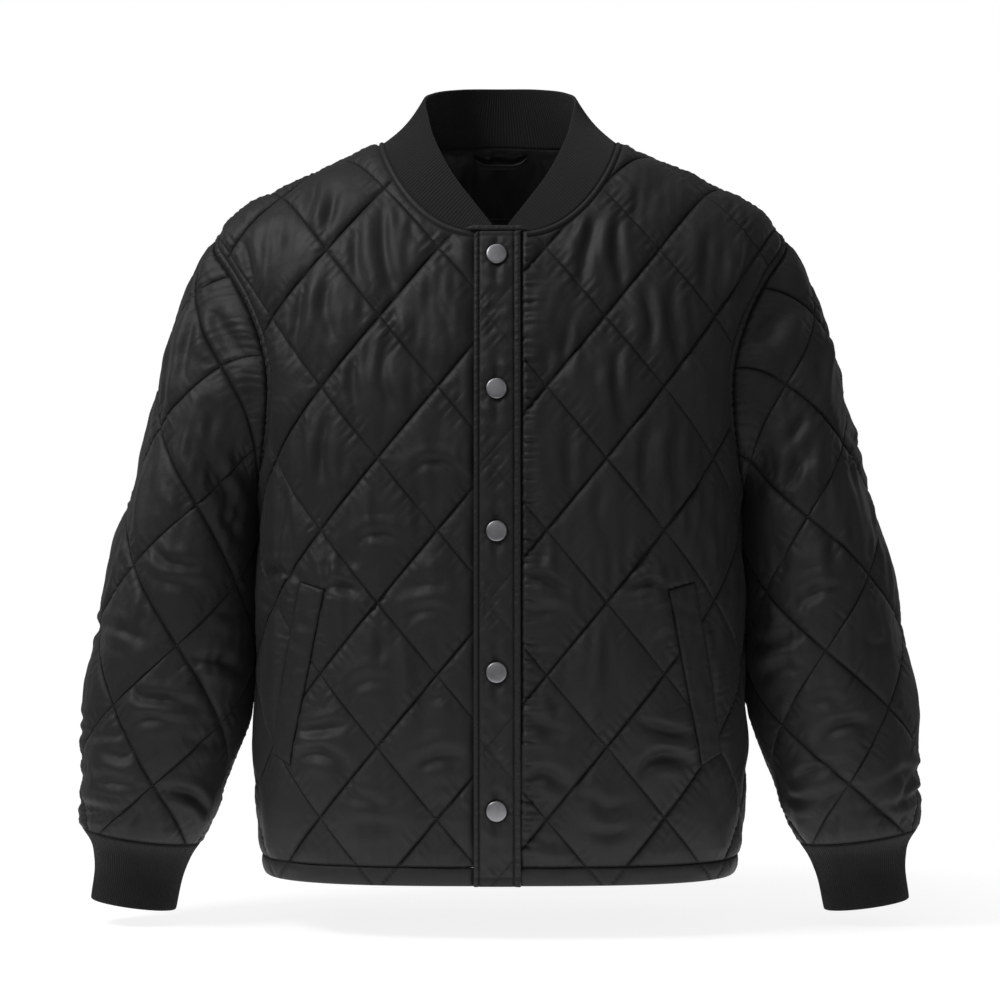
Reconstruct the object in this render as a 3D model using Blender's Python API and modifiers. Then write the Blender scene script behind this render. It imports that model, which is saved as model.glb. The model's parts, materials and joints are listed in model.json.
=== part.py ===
"""A quilted bomber jacket, filled out and empty inside, built as a maker would cut it.

Each quilted piece starts as a flat pattern in cloth coordinates: `across` is the distance
round the body or the sleeve, and `up` is the distance along the cloth. The pattern is cut
into triangles whose edges follow the sewn diamonds, and then laid on the form of a filled
jacket. The outer points puff out between the sewn lines, and the inner points stay plain.

Frame: the origin is in the middle of the neck at shoulder height, +X is the wearer's left,
+Y the wearer's back and +Z up. All sizes are in metres.
"""
import bpy
import bmesh
import numpy as np
from math import pi, radians
from mathutils import Vector, geometry

# ---------------------------------------------------------------- cloth and seams
WALL = 0.0028            # quilted cloth at a sewn line
GAP = 0.0003             # between any two pieces
ARM_GAP = 0.0005         # between body and sleeve round the armhole
NECK_GAP = 0.0008        # under the collar, whose foot bends between the points of the neck
PUFF = 0.0055            # how far the wadding stands out in the middle of a diamond
EDGE_STEP = 0.019        # spacing of points along a cut edge
NECK_STEP = 0.010        # the same round the neck, whose edge is tighter
CUFF_STEP = 0.013        # and round the foot of a sleeve
CLEAR_EDGE = 0.006       # points inside a piece keep this far from its edge
CELL_PARTS = 3           # each side of a diamond is cut into this many parts

# ---------------------------------------------------------------- the body's form
# level z, half width, depth to the front, depth to the back
BODY = np.array([
    (-0.660, 0.2075, 0.128, 0.116),
    (-0.646, 0.2085, 0.129, 0.117),
    (-0.629, 0.2110, 0.131, 0.118),
    (-0.600, 0.2145, 0.135, 0.121),
    (-0.540, 0.2165, 0.137, 0.122),
    (-0.440, 0.2155, 0.136, 0.121),
    (-0.300, 0.2130, 0.132, 0.119),
    (-0.200, 0.2130, 0.132, 0.119),
])
BODY_ROUND = 3.0         # power of the superellipse that every level follows
# chest level below which the cloth hangs straight, and the roundness of the yoke above it
CHEST = {"front": -0.300, "back": -0.250}
YOKE_ROUND = {"front": 1.95, "back": 2.95}
YOKE_SPREAD = 0.060      # the half width grows by this much from chest to shoulder
SHOULDER_TOP = 0.062     # the shoulder line: height, fall per metre, softness at the neck
SHOULDER_FALL = 0.486
SHOULDER_SOFT = 0.050
TIP_START, TIP_DROP = 0.215, 11.0

# ---------------------------------------------------------------- neck, armholes, edges
NECK_HALF = 0.104
NECK_FRONT, NECK_FRONT_ROUND = 0.0995, 2.6
NECK_BACK, NECK_BACK_ROUND = 0.075, 2.2
ARM_TOP, ARM_MID, ARM_FOOT = -0.080, -0.205, -0.300
ARM_FRONT, ARM_BACK = 0.0735, 0.070
ARM_UPPER_ROUND = {"front": 1.5, "back": 1.9}
ARM_LOWER_ROUND = 2.1
ARM_POINTS, SHOULDER_POINTS, SIDE_POINTS = 20, 9, 18
ARM_INNERMOST = 0.195    # the armhole lies farther out than this
SHOULDER_TIP = 0.2545
HEM_LINE, HEM_EDGE, HEM_SWELL = -0.6293, -0.6455, 0.0012
LEFT_EDGE = 0.0179       # the left front's cut edge, where the placket is sewn on
PLACKET_RIGHT, PLACKET_LEFT = -0.0225, 0.0176
UNDERLAP = 0.0150        # the right front runs on under the placket to here
UNDERLAP_SINK = 0.0006
SAME_POINT, SAME_EDGE = 0.0002, 0.002   # how near a point or an edge counts as the same
FOLD_CLEAR = 0.0015      # the underlap's step down lies this far outside the placket
# the hem band from the left front's edge round to the underlap's: side of the body, first and
# last `across` (1 and -1 are the side seams), points, and its own height where it isn't the row's
HEM_STRETCHES = (
    ("front", LEFT_EDGE, 0.97, 12, None),
    ("back", 1.0, -1.0, 25, None),
    ("front", -0.97, PLACKET_RIGHT - 2 * FOLD_CLEAR, 12, None),
    ("front", PLACKET_RIGHT - FOLD_CLEAR, UNDERLAP, 4, -UNDERLAP_SINK),
)

# ---------------------------------------------------------------- sewn diamonds
HALF_ACROSS = 0.0515
# piece, across of one crossing, up of that crossing, half height of a diamond
QUILT = {
    "front_left": (0.0398, -0.2880, 0.0618),
    "front_right": (0.0539, -0.2880, 0.0618),
    "back": (0.0, -0.3380, 0.0618),
    "sleeve_left": (0.0030, -0.2050, 0.0602),
    "sleeve_right": (0.0010, -0.2010, 0.0620),
}

# ---------------------------------------------------------------- sleeves
# middle z, middle x, middle y, half across, half deep, lean of the level in degrees
SLEEVE = np.array([
    (-0.613, 0.3200, -0.0200, 0.0530, 0.0540, 8.0),
    (-0.590, 0.3143, -0.0180, 0.0578, 0.0620, 9.0),
    (-0.560, 0.3102, -0.0150, 0.0637, 0.0690, 10.0),
    (-0.520, 0.3023, -0.0120, 0.0693, 0.0730, 10.0),
    (-0.480, 0.2945, -0.0090, 0.0722, 0.0750, 10.0),
    (-0.430, 0.2886, -0.0060, 0.0690, 0.0760, 10.0),
    (-0.370, 0.2818, -0.0030, 0.0634, 0.0755, 10.0),
    (-0.310, 0.2722, 0.0, 0.0550, 0.0730, 10.0),
])
CAP_LEAN = 1.6           # spreads the sleeve head's columns over the armhole
CAP_PULL = 0.95          # length of the sleeve head's tangents against its own length
HEAD_FINE = -0.100       # above this height the sleeve's inside has as many points as its outside
PRESSED_FROM, PRESSED_SOFT = -0.230, 0.040   # the underarm is pressed flat above this height
SEAM_ANGLE = 0.05        # points this near the underarm seam, in radians, lie on it
# place along the armhole from its top to its foot, inward share of the arriving cloth
CAP_ARRIVE = np.array([(0.0, 0.55), (0.5, 0.85), (1.0, 0.30)])
ARM_AXIS = np.array((0.97, 0.0, 0.24))

# where a sleeve hangs against the body's side: reach to the front and back, lowest level, least
# distance from the middle, softness of its edge, share of the wadding that it presses flat
CONTACT_DEEP, CONTACT_FOOT, CONTACT_OUT = 0.077, -0.545, 0.15
CONTACT_SOFT, CONTACT_PRESS = 0.055, 0.8

# ---------------------------------------------------------------- the largest folds
FOLD_SINK = 0.0010       # a fold's bottom lies this far below a sewn line
# piece: x and z of the points along each fold, from its top
FOLDS = {
    "front_right": (((0.2260, 0.2195, 0.2155), (-0.0850, -0.1150, -0.1310)),),
    "front_left": (((0.2210, 0.2165, 0.2105), (-0.0850, -0.1130, -0.1370)),),
    "sleeve_right": (((0.2530, 0.2420, 0.2300), (-0.1470, -0.1700, -0.1920)),
                     ((0.2680, 0.2510, 0.2380), (-0.2690, -0.2980, -0.3280))),
    "sleeve_left": (((0.2480, 0.2360, 0.2240), (-0.1470, -0.1650, -0.1830)),
                    ((0.2700, 0.2590, 0.2540), (-0.2740, -0.2930, -0.3080))),
}

# ---------------------------------------------------------------- ribs
RIB_WALL = 0.0030
RIB_RISE = 0.0010
COLLAR_RIBS, CUFF_RIBS = 112, 62
RIB_BACKING = 4          # the plain inner face has one column to this many of the ribbed one
# share of the half neck seam, then x, y, z of the collar's free edge
COLLAR_EDGE = np.array([
    (0.00, 0.0, 0.0700, 0.0645),
    (0.18, 0.0370, 0.0600, 0.0630),
    (0.36, 0.0610, 0.0300, 0.0560),
    (0.47, 0.0682, 0.0080, 0.0485),
    (0.60, 0.0650, -0.0120, 0.0310),
    (0.70, 0.0596, -0.0330, 0.0105),
    (0.79, 0.0503, -0.0530, -0.0112),
    (0.86, 0.0400, -0.0670, -0.0300),
    (0.93, 0.0244, -0.0810, -0.0520),
    (1.00, 0.0087, -0.0950, -0.0752),
])
COLLAR_TIP = 0.0125      # x where the collar's seam ends in front
COLLAR_BULGE = 0.0025    # how far the collar rounds outwards half way up
# middle z, middle x, middle y, half across, half deep, lean in degrees
CUFF = np.array([
    (-0.6134, 0.3200, -0.0200, 0.0530, 0.0540, 8.0),
    (-0.6240, 0.3197, -0.0203, 0.0460, 0.0430, 8.0),
    (-0.6400, 0.3215, -0.0209, 0.0408, 0.0345, 8.0),
    (-0.6750, 0.3270, -0.0225, 0.0382, 0.0310, 8.0),
])

# ---------------------------------------------------------------- small pieces
TRIM_WALL = 0.0024
# corners of each pocket welt, x and z: top inner, top outer, bottom outer, bottom inner
WELTS = {
    "front_right": ("welt_right", (0.1503, 0.1717, 0.1966, 0.1812), (-0.3925, -0.3863, -0.5339, -0.5434)),
    "front_left": ("welt_left", (0.1443, 0.1674, 0.1906, 0.1734), (-0.3925, -0.3863, -0.5339, -0.5434)),
}
PLACKET_WALL, PLACKET_PUFF, PLACKET_ROWS = 0.0030, 0.0018, 45
SNAP_RADIUS, SNAP_RISE = 0.0090, 0.0030
SNAP_ACROSS = -0.0030
SNAP_LEVELS = (-0.1040, -0.2200, -0.3415, -0.4620, -0.5800)
LOOP_HALF, LOOP_DIP, LOOP_TALL = 0.0260, 0.0080, 0.0055
LOOP_HANG, LOOP_WALL = 0.0030, 0.0014
LINING_HALF, LINING_DEEP, LINING_DROP, LINING_WALL = 0.080, 0.072, 0.0035, 0.0012

# ---------------------------------------------------------------- finishes
# base colour, roughness, metallic
FINISHES = {
    "quilted_nylon": ((0.018, 0.018, 0.020, 1.0), 0.45, 0.0),
    "rib_knit": ((0.012, 0.012, 0.013, 1.0), 0.85, 0.0),
    "plain_nylon": ((0.015, 0.015, 0.017, 1.0), 0.50, 0.0),
    "dark_metal": ((0.12, 0.12, 0.125, 1.0), 0.35, 1.0),
}


# ================================================================ reading tables
def smooth(value, knots, heights):
    """Read a table along a smooth curve through its rows (knots rise)."""
    slopes = np.gradient(heights, knots)
    value = np.clip(value, knots[0], knots[-1])
    cell = np.clip(np.searchsorted(knots, value) - 1, 0, len(knots) - 2)
    width = knots[cell + 1] - knots[cell]
    f = (value - knots[cell]) / width
    start = (2 * f**3 - 3 * f**2 + 1) * heights[cell] + (f**3 - 2 * f**2 + f) * width * slopes[cell]
    end = (3 * f**2 - 2 * f**3) * heights[cell + 1] + (f**3 - f**2) * width * slopes[cell + 1]
    return start + end


def lengths(curve):
    """Distance along a polyline at each of its points."""
    steps = np.linalg.norm(np.diff(curve, axis=0), axis=1)
    return np.concatenate(((0.0,), np.cumsum(steps)))


def resample(curve, places, at):
    """Points of a curve, given its own place values, at other place values."""
    return np.stack([np.interp(at, places, curve[:, axis]) for axis in range(curve.shape[1])], axis=1)


def power(value, exponent):
    """A signed power, for superellipses."""
    return np.sign(value) * np.abs(value) ** exponent


def unit(vectors):
    """Vectors of length one."""
    return vectors / np.linalg.norm(vectors, axis=-1, keepdims=True)


# ================================================================ surfaces in cloth coordinates
class Surface:
    """A smooth surface read by cloth coordinates, kept as a regular grid of points."""

    def __init__(self, across, up, points, turn, symmetric):
        self.across, self.up, self.points = across, up, points
        self.turn, self.symmetric = turn, symmetric

    def at(self, flat):
        """Points in space of cloth coordinates (n, 2)."""
        flat = np.atleast_2d(flat)
        across = np.abs(flat[:, 0]) if self.symmetric else flat[:, 0]
        a = (across - self.across[0]) / (self.across[1] - self.across[0])
        b = (flat[:, 1] - self.up[0]) / (self.up[1] - self.up[0])
        i = np.clip(a.astype(int), 0, len(self.across) - 2)
        j = np.clip(b.astype(int), 0, len(self.up) - 2)
        a = (a - i)[:, None]
        b = (b - j)[:, None]
        grid = self.points
        low = grid[i, j] * (1 - a) + grid[i + 1, j] * a
        high = grid[i, j + 1] * (1 - a) + grid[i + 1, j + 1] * a
        found = low * (1 - b) + high * b
        if self.symmetric:
            found[:, 0] *= np.where(flat[:, 0] < 0, -1.0, 1.0)
        return found

    def facing(self, flat, reach=0.003):
        """Outward directions of the surface at cloth coordinates."""
        flat = np.atleast_2d(flat)
        side = self.at(flat + (reach, 0.0)) - self.at(flat - (reach, 0.0))
        rise = self.at(flat + (0.0, reach)) - self.at(flat - (0.0, reach))
        return unit(np.cross(side, rise)) * self.turn

    def locate(self, wanted, axes, guess):
        """Cloth coordinates of points that are known by two of their three coordinates."""
        wanted = np.atleast_2d(wanted)
        flat = np.array(np.broadcast_to(guess, wanted.shape), float)
        step = 0.0005
        for _ in range(25):
            here = self.at(flat)[:, axes]
            side = (self.at(flat + (step, 0.0))[:, axes] - here) / step
            rise = (self.at(flat + (0.0, step))[:, axes] - here) / step
            miss = wanted - here
            area = side[:, 0] * rise[:, 1] - side[:, 1] * rise[:, 0]
            area = np.where(np.abs(area) < 1e-6, 1e-6, area)
            move_across = (miss[:, 0] * rise[:, 1] - miss[:, 1] * rise[:, 0]) / area
            move_up = (side[:, 0] * miss[:, 1] - side[:, 1] * miss[:, 0]) / area
            flat += np.clip(np.stack((move_across, move_up), axis=1), -0.02, 0.02)
        return flat

    def follow(self, wanted, axes, start):
        """Cloth coordinates along a curve, each point sought from the one before it."""
        found = [np.array(start, float)]
        for point in wanted:
            found.append(self.locate(point, axes, found[-1])[0])
        return np.array(found[1:])


def shoulder_height(x):
    """Height of the shoulder line over the body's width."""
    slope = SHOULDER_TOP - SHOULDER_FALL * np.sqrt(x**2 + SHOULDER_SOFT**2)
    return slope - TIP_DROP * np.maximum(np.abs(x) - TIP_START, 0.0) ** 2


def body_level(z, side):
    """Half width and depth of the body at a level."""
    column = 2 if side == "front" else 3
    return smooth(z, BODY[:, 0], BODY[:, 1]), smooth(z, BODY[:, 0], BODY[:, column])


def body_curve(half, deep, round_angle, level_height, front):
    """One level of the body from its middle round past the side."""
    x = half * power(np.sin(round_angle), 2 / BODY_ROUND)
    y = deep * power(np.cos(round_angle), 2 / BODY_ROUND)
    z = level_height(x)
    return np.stack((x, -y if front else y, z), axis=1)


def body_surface(side):
    """The body's front or back, from below the hem up over the shoulder line."""
    front = side == "front"
    chest = CHEST[side]
    around = np.linspace(0.0, 1.18, 500) * pi / 2
    across = np.arange(0.0, 0.336, 0.003)
    curves = []
    drops = np.arange(-0.345, -0.0001, 0.005) if front else np.arange(-0.395, -0.0001, 0.005)
    for drop in drops:
        half, deep = body_level(chest + drop, side)
        curves.append(body_curve(half, deep, around, lambda x, z=chest + drop: np.full_like(x, z), front))
    half, deep = body_level(chest, side)
    rises = np.concatenate((np.linspace(0.0, 1.0, 81), np.linspace(1.015, 1.12, 8)))
    for rise in rises * pi / 2:
        share = abs(np.sin(rise)) ** (2 / YOKE_ROUND[side])
        shrink = power(np.cos(rise), 2 / YOKE_ROUND[side])
        curves.append(body_curve(
            half + YOKE_SPREAD * share**2, deep * shrink, around,
            lambda x, share=share: chest + (shoulder_height(x) - chest) * share, front))
    levels = np.stack([resample(curve, lengths(curve), across) for curve in curves])
    up = np.arange(drops[0] + 0.005, 0.46, 0.003)
    grid = np.empty((len(across), len(up), 3))
    ridge = np.empty(len(across))
    for column in range(len(across)):
        line = levels[:, column]
        yoke = lengths(line[len(drops):])
        ridge[column] = yoke[80]
        grid[column] = resample(line, np.concatenate((drops, yoke)), up)
    surface = Surface(across, up, grid, 1.0 if front else -1.0, True)
    surface.shoulder = np.stack((across, ridge), axis=1)
    return surface


def armhole_ring(surfaces):
    """The armhole as a closed curve: place -1 to 0 to 1 is foot, back, top, front, foot."""
    angle = np.linspace(0.0, pi, 121)
    reach = np.where(angle < pi / 2, ARM_TOP - ARM_MID, ARM_MID - ARM_FOOT)
    sides = {}
    for side, deep in (("front", -ARM_FRONT), ("back", ARM_BACK)):
        bend = np.where(angle < pi / 2, ARM_UPPER_ROUND[side], ARM_LOWER_ROUND)
        z = ARM_MID + reach * power(np.cos(angle), 2 / bend)
        y = deep * np.sin(angle) ** (2 / bend)
        wanted = np.stack((y, z), axis=1)[::-1]
        flat = surfaces[side].follow(wanted, (1, 2), (0.29, ARM_FOOT - CHEST[side]))[::-1]
        curve = surfaces[side].at(flat)
        place = lengths(curve) / lengths(curve)[-1]
        even = resample(flat, place, np.linspace(0.0, 1.0, ARM_POINTS + 1))
        sides[side] = (curve, place, even)
    curve = np.concatenate((sides["back"][0][:0:-1], sides["front"][0]))
    place = np.concatenate((-sides["back"][1][:0:-1], sides["front"][1]))
    return curve, place, sides


class Sleeve(Surface):
    """The left sleeve's form: `across` 0 is its front middle, `up` 0 is the upper arm."""

    def __init__(self, ring, ring_place):
        self.ring, self.ring_place = ring, ring_place
        middle = SLEEVE[:, (1, 2, 0)]
        self.down = np.linspace(SLEEVE[0, 0], SLEEVE[-1, 0], 200)
        track = np.stack([smooth(self.down, SLEEVE[:, 0], middle[:, axis]) for axis in range(3)], axis=1)
        self.length = lengths(track)[-1]
        self.along = lengths(track) - self.length
        across = np.arange(-0.400, 0.1601, 0.0025)
        levels = np.append(np.arange(-self.length - 0.010, -0.002, 0.004), 0.0)
        turn = np.linspace(-1.25 * pi, 1.25 * pi, 600)
        points, angles = [], []
        for up in levels:
            curve = self.oval(np.full(600, up), turn)
            start = np.interp(pi / 2, turn, lengths(curve))
            angles.append(np.interp(across, lengths(curve) - start, turn))
            points.append(resample(curve, turn, angles[-1]))
        self.angle_grid = np.array(angles)
        self.levels, self.columns = levels, across
        tube = np.stack(points, axis=1)
        self.cap_angle = angles[-1]
        heads = [self.head(tube[i, -1], unit(tube[i, -1] - tube[i, -4]), self.cap_angle[i])
                 for i in range(len(across))]
        self.cap_height = np.array([lengths(head)[-1] for head in heads])
        up = np.arange(levels[0], 0.300, 0.0025)
        grid = np.empty((len(across), len(up), 3))
        for i, head in enumerate(heads):
            grid[i] = self.column(levels, tube[i], head, up)
        super().__init__(across, up, grid, -1.0, False)
        foot = self.oval(levels, np.full(len(levels), pi))
        head = self.head(foot[-1], unit(foot[-1] - foot[-4]), pi)
        self.underarm = self.column(levels, foot, head, up)

    def column(self, levels, tube, head, up):
        """A whole column of the sleeve at even heights, run on straight past the armhole."""
        line = np.concatenate((tube, head[1:]))
        places = np.concatenate((levels, lengths(head)[1:]))
        past = np.maximum(up - places[-1], 0.0)[:, None]
        return resample(line, places, up) + past * unit(line[-1] - line[-2])

    def oval(self, up, angle):
        """Points of the sleeve's leaning ovals; angle 0 is the outer side, 90 degrees the front."""
        z = np.interp(up, self.along, self.down)
        x, y, half, deep, lean = (smooth(z, SLEEVE[:, 0], SLEEVE[:, column]) for column in range(1, 6))
        z = z + np.minimum(up + self.length, 0.0)
        out = half * np.cos(angle)
        lean = np.radians(lean)
        return np.stack((x + out * np.cos(lean), y - deep * np.sin(angle), z + out * np.sin(lean)), axis=1)

    def place_on_ring(self, angle):
        """Where a column of the sleeve head meets the armhole, from -1 to 1."""
        angle = (angle + pi) % (2 * pi) - pi
        return power(angle / pi, CAP_LEAN)

    def seam_point(self, angle):
        """The armhole's point and its outward direction at a column of the sleeve."""
        point = resample(self.ring, self.ring_place, self.place_on_ring(np.atleast_1d(angle)))
        return point, rim_direction(point)

    def head(self, start, leaving, angle):
        """One column of the sleeve head, from the upper arm to the armhole."""
        end = self.seam_point(angle)[0][0]
        inward = smooth(abs(self.place_on_ring(angle)), CAP_ARRIVE[:, 0], CAP_ARRIVE[:, 1])
        arriving = np.array((-inward, 0.0, (1 - inward**2) ** 0.5))
        pull = CAP_PULL * np.linalg.norm(end - start)
        f = np.linspace(0.0, 1.0, 41)[:, None]
        return ((2 * f**3 - 3 * f**2 + 1) * start + (f**3 - 2 * f**2 + f) * pull * leaving
                + (3 * f**2 - 2 * f**3) * end + (f**3 - f**2) * pull * arriving)

    def angle_at(self, flat):
        """The angle round the sleeve at cloth coordinates."""
        level = np.clip(np.searchsorted(self.levels, flat[:, 1]) - 1, 0, len(self.levels) - 1)
        place = (flat[:, 0] - self.columns[0]) / (self.columns[1] - self.columns[0])
        column = np.clip(place.astype(int), 0, len(self.columns) - 2)
        part = place - column
        return self.angle_grid[level, column] * (1 - part) + self.angle_grid[level, column + 1] * part

    def seam_across(self, up, angle):
        """`across` of the underarm seam at the given heights, on either side of the pattern."""
        level = np.clip(np.searchsorted(self.levels, up), 0, len(self.levels) - 1)
        return np.array([np.interp(angle, self.angle_grid[i], self.columns) for i in level])


def rim_direction(point):
    """Outward at the armhole, in the hoop's own plane."""
    spoke = point - np.array((0.225, 0.0, ARM_MID))
    axis = unit(ARM_AXIS)
    return unit(spoke - np.outer(spoke @ axis, axis))


# ================================================================ flat patterns
def spaced(start, end, step=EDGE_STEP):
    """Even points of a straight edge, without its end."""
    start, end = np.array(start, float), np.array(end, float)
    count = max(1, round(np.linalg.norm(end - start) / step))
    return start + (end - start) * np.arange(count)[:, None] / count


def thin_out(curve, step=EDGE_STEP):
    """Even points of a curved edge, without its end."""
    total = lengths(curve)
    count = max(1, round(total[-1] / step))
    return resample(curve, total, np.arange(count) / count * total[-1])


def inside(outline, points):
    """Which points lie inside a closed outline."""
    x, y = points[:, 0, None], points[:, 1, None]
    x0, y0 = outline[:, 0], outline[:, 1]
    x1, y1 = np.roll(x0, -1), np.roll(y0, -1)
    spans = (y0 > y) != (y1 > y)
    height = np.where(y1 == y0, 1.0, y1 - y0)
    crosses = spans & (x < (x1 - x0) * (y - y0) / height + x0)
    return crosses.sum(axis=1) % 2 == 1


def edge_distance(outline, points, closed=True):
    """Distance of points from an outline, or from an open line."""
    a = outline if closed else outline[:-1]
    b = np.roll(outline, -1, axis=0) if closed else outline[1:]
    run = b - a
    share = ((points[:, None] - a) * run).sum(axis=2) / (run**2).sum(axis=1)
    nearest = a + np.clip(share, 0, 1)[..., None] * run
    return np.linalg.norm(points[:, None] - nearest, axis=2).min(axis=1)


def diamonds(quilt, outline, keep):
    """The points that divide a piece's diamonds, and the links that follow its sewn lines."""
    start_across, start_up, half_up = quilt
    low, high = outline.min(axis=0), outline.max(axis=0)
    cell = np.array((HALF_ACROSS, half_up))
    start = np.array((start_across, start_up))
    base = start + np.round((low - start) / (2 * cell)) * 2 * cell
    reach = (int(np.ceil(max((high - low) / cell))) + 2) * CELL_PARTS
    numbers = np.arange(-reach, reach + 1)
    i, j = (side.ravel() for side in np.meshgrid(numbers, numbers, indexing="ij"))
    points = base + np.stack(((i + j) * cell[0], (i - j) * cell[1]), axis=1) / CELL_PARTS
    chosen = np.flatnonzero(keep(points))
    place = {(int(i[k]), int(j[k])): n for n, k in enumerate(chosen)}
    sewn = np.array([i[k] % CELL_PARTS == 0 or j[k] % CELL_PARTS == 0 for k in chosen])
    links = []
    for (row, column), n in place.items():
        if column % CELL_PARTS == 0 and (row + 1, column) in place:
            links.append((n, place[row + 1, column]))
        if row % CELL_PARTS == 0 and (row, column + 1) in place:
            links.append((n, place[row, column + 1]))
    return points[chosen], sewn, links


def cut(outline, loose, links=(), closed=(), folds=()):
    """Cut a flat piece into triangles along its outline, links, closed shapes and folds."""
    points = [Vector(p) for p in outline]
    edges = [(i, (i + 1) % len(outline)) for i in range(len(outline))]
    for shape in closed:
        first = len(points)
        points += [Vector(p) for p in shape]
        edges += [(first + i, first + (i + 1) % len(shape)) for i in range(len(shape))]
    for fold in folds:
        first = len(points)
        points += [Vector(p) for p in fold]
        edges += [(first + i, first + i + 1) for i in range(len(fold) - 1)]
    edges += [(len(points) + a, len(points) + b) for a, b in links]
    points += [Vector(p) for p in loose]
    flat, _, faces, *_ = geometry.delaunay_2d_cdt(points, edges, [], 0, 1e-6)
    flat = np.array([tuple(p) for p in flat])
    faces = np.array([tuple(face) for face in faces])
    faces = faces[inside(outline, flat[faces].mean(axis=1))]
    a, b, c = (flat[faces[:, i]] for i in range(3))
    area = (b[:, 0] - a[:, 0]) * (c[:, 1] - a[:, 1]) - (b[:, 1] - a[:, 1]) * (c[:, 0] - a[:, 0])
    faces[area < 0] = faces[area < 0][:, ::-1]
    faces = faces[np.abs(area) > 1e-8]
    used, faces = np.unique(faces, return_inverse=True)
    return flat[used], faces.reshape(-1, 3)


def rim_loop(faces):
    """The vertices round the edge of a triangulated piece, in order."""
    edges = {(int(f[i]), int(f[(i + 1) % 3])) for f in faces for i in range(3)}
    following = {a: b for a, b in edges if (b, a) not in edges}
    loop = [min(following)]
    for _ in range(len(following) - 1):
        loop.append(following[loop[-1]])
    if following[loop[-1]] != loop[0]:
        raise ValueError("a cut piece has more than one edge")
    return loop


def cut_quilted(outline, quilt, closed=(), folds=(), backed=None, followed=None):
    """A piece cut along its sewn diamonds, and its coarser plain inside with the same edge.

    backed is a shape on the inside that carries a lining; followed tells where the form is
    too tightly curved for the coarse inside, which has every point of the outside there.
    """
    def keep(points, clear=CLEAR_EDGE):
        kept = inside(outline, points) & (edge_distance(outline, points) > clear)
        for shape in closed:
            kept &= edge_distance(shape, points) > CLEAR_EDGE
        for fold in folds:
            kept &= edge_distance(fold, points, closed=False) > CLEAR_EDGE
        return kept

    loose, sewn, links = diamonds(quilt, outline, keep)
    flat, faces = cut(outline, loose, links, closed, folds)
    loop = rim_loop(faces)
    coarse = loose[sewn][edge_distance(outline, loose[sewn]) > 2 * CLEAR_EDGE]
    shapes, lines = (), ()
    if backed is not None:
        near = inside(backed, coarse) & (edge_distance(backed, coarse) > CLEAR_EDGE)
        away = ~inside(backed, coarse) & (edge_distance(backed, coarse) > 2 * CLEAR_EDGE)
        coarse = np.concatenate((coarse[near], coarse[away][::2]))
        shapes = (backed,)
    else:
        coarse = coarse[::2]
    if followed is not None:
        coarse = np.concatenate((coarse[~followed(coarse)], loose[followed(loose)]))
        lines = folds
    return flat, faces, loop, cut(flat[loop], coarse, (), shapes, lines)


def wadding(flat, quilt):
    """Share of the full puff at cloth coordinates: 0 on the sewn lines, 1 between them."""
    start_across, start_up, half_up = quilt
    a = (flat[:, 0] - start_across) / HALF_ACROSS
    b = (flat[:, 1] - start_up) / half_up
    return np.abs(np.sin(pi * (a + b) / 2) * np.sin(pi * (a - b) / 2)) ** 0.6


def fold_lines(name, surface, near):
    """Cloth coordinates of a piece's largest folds; near is where to start looking for them."""
    return [surface.locate(np.stack((xs, zs), axis=1), (0, 2), near) for xs, zs in FOLDS[name]]


def press(lift, flat, lines):
    """Sink the points that lie on a fold."""
    for line in lines:
        lift[edge_distance(line, flat, closed=False) < SAME_POINT] = -FOLD_SINK
    return lift


# ================================================================ objects
def material(name):
    """A plain finish for the solids."""
    if name in bpy.data.materials:
        return bpy.data.materials[name]
    colour, roughness, metallic = FINISHES[name]
    made = bpy.data.materials.new(name)
    made.use_nodes = True
    shader = made.node_tree.nodes["Principled BSDF"]
    shader.inputs["Base Color"].default_value = colour
    shader.inputs["Roughness"].default_value = roughness
    shader.inputs["Metallic"].default_value = metallic
    made.diffuse_color = colour
    return made


def add_piece(name, points, faces, finish, mirror=False):
    """Make one closed piece; a mirrored one is for the wearer's right side."""
    points = np.array(points)
    if mirror:
        points[:, 0] *= -1
    mesh = bpy.data.meshes.new(name)
    mesh.from_pydata([tuple(p) for p in points], [], [tuple(int(i) for i in face) for face in faces])
    work = bmesh.new()
    work.from_mesh(mesh)
    bmesh.ops.remove_doubles(work, verts=work.verts, dist=1e-6)
    bmesh.ops.triangulate(work, faces=work.faces)
    bmesh.ops.recalc_face_normals(work, faces=work.faces)
    if work.calc_volume(signed=True) < 0:
        bmesh.ops.reverse_faces(work, faces=work.faces)
    work.to_mesh(mesh)
    work.free()
    mesh.materials.append(material(finish))
    mesh.shade_flat()
    piece = bpy.data.objects.new(name, mesh)
    bpy.data.collections["quilted_jacket"].objects.link(piece)
    return piece


def bridge(first, second, closed):
    """Triangles between two rows of vertices that run the same way, of any two counts."""
    first = list(first) + ([first[0]] if closed else [])
    second = list(second) + ([second[0]] if closed else [])
    faces, i, j = [], 0, 0
    while i < len(first) - 1 or j < len(second) - 1:
        ahead = (i + 0.5) / (len(first) - 1) <= (j + 0.5) / (len(second) - 1)
        if (ahead and i < len(first) - 1) or j == len(second) - 1:
            faces.append((first[i], first[i + 1], second[j]))
            i += 1
        else:
            faces.append((first[i], second[j + 1], second[j]))
            j += 1
    return faces


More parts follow.
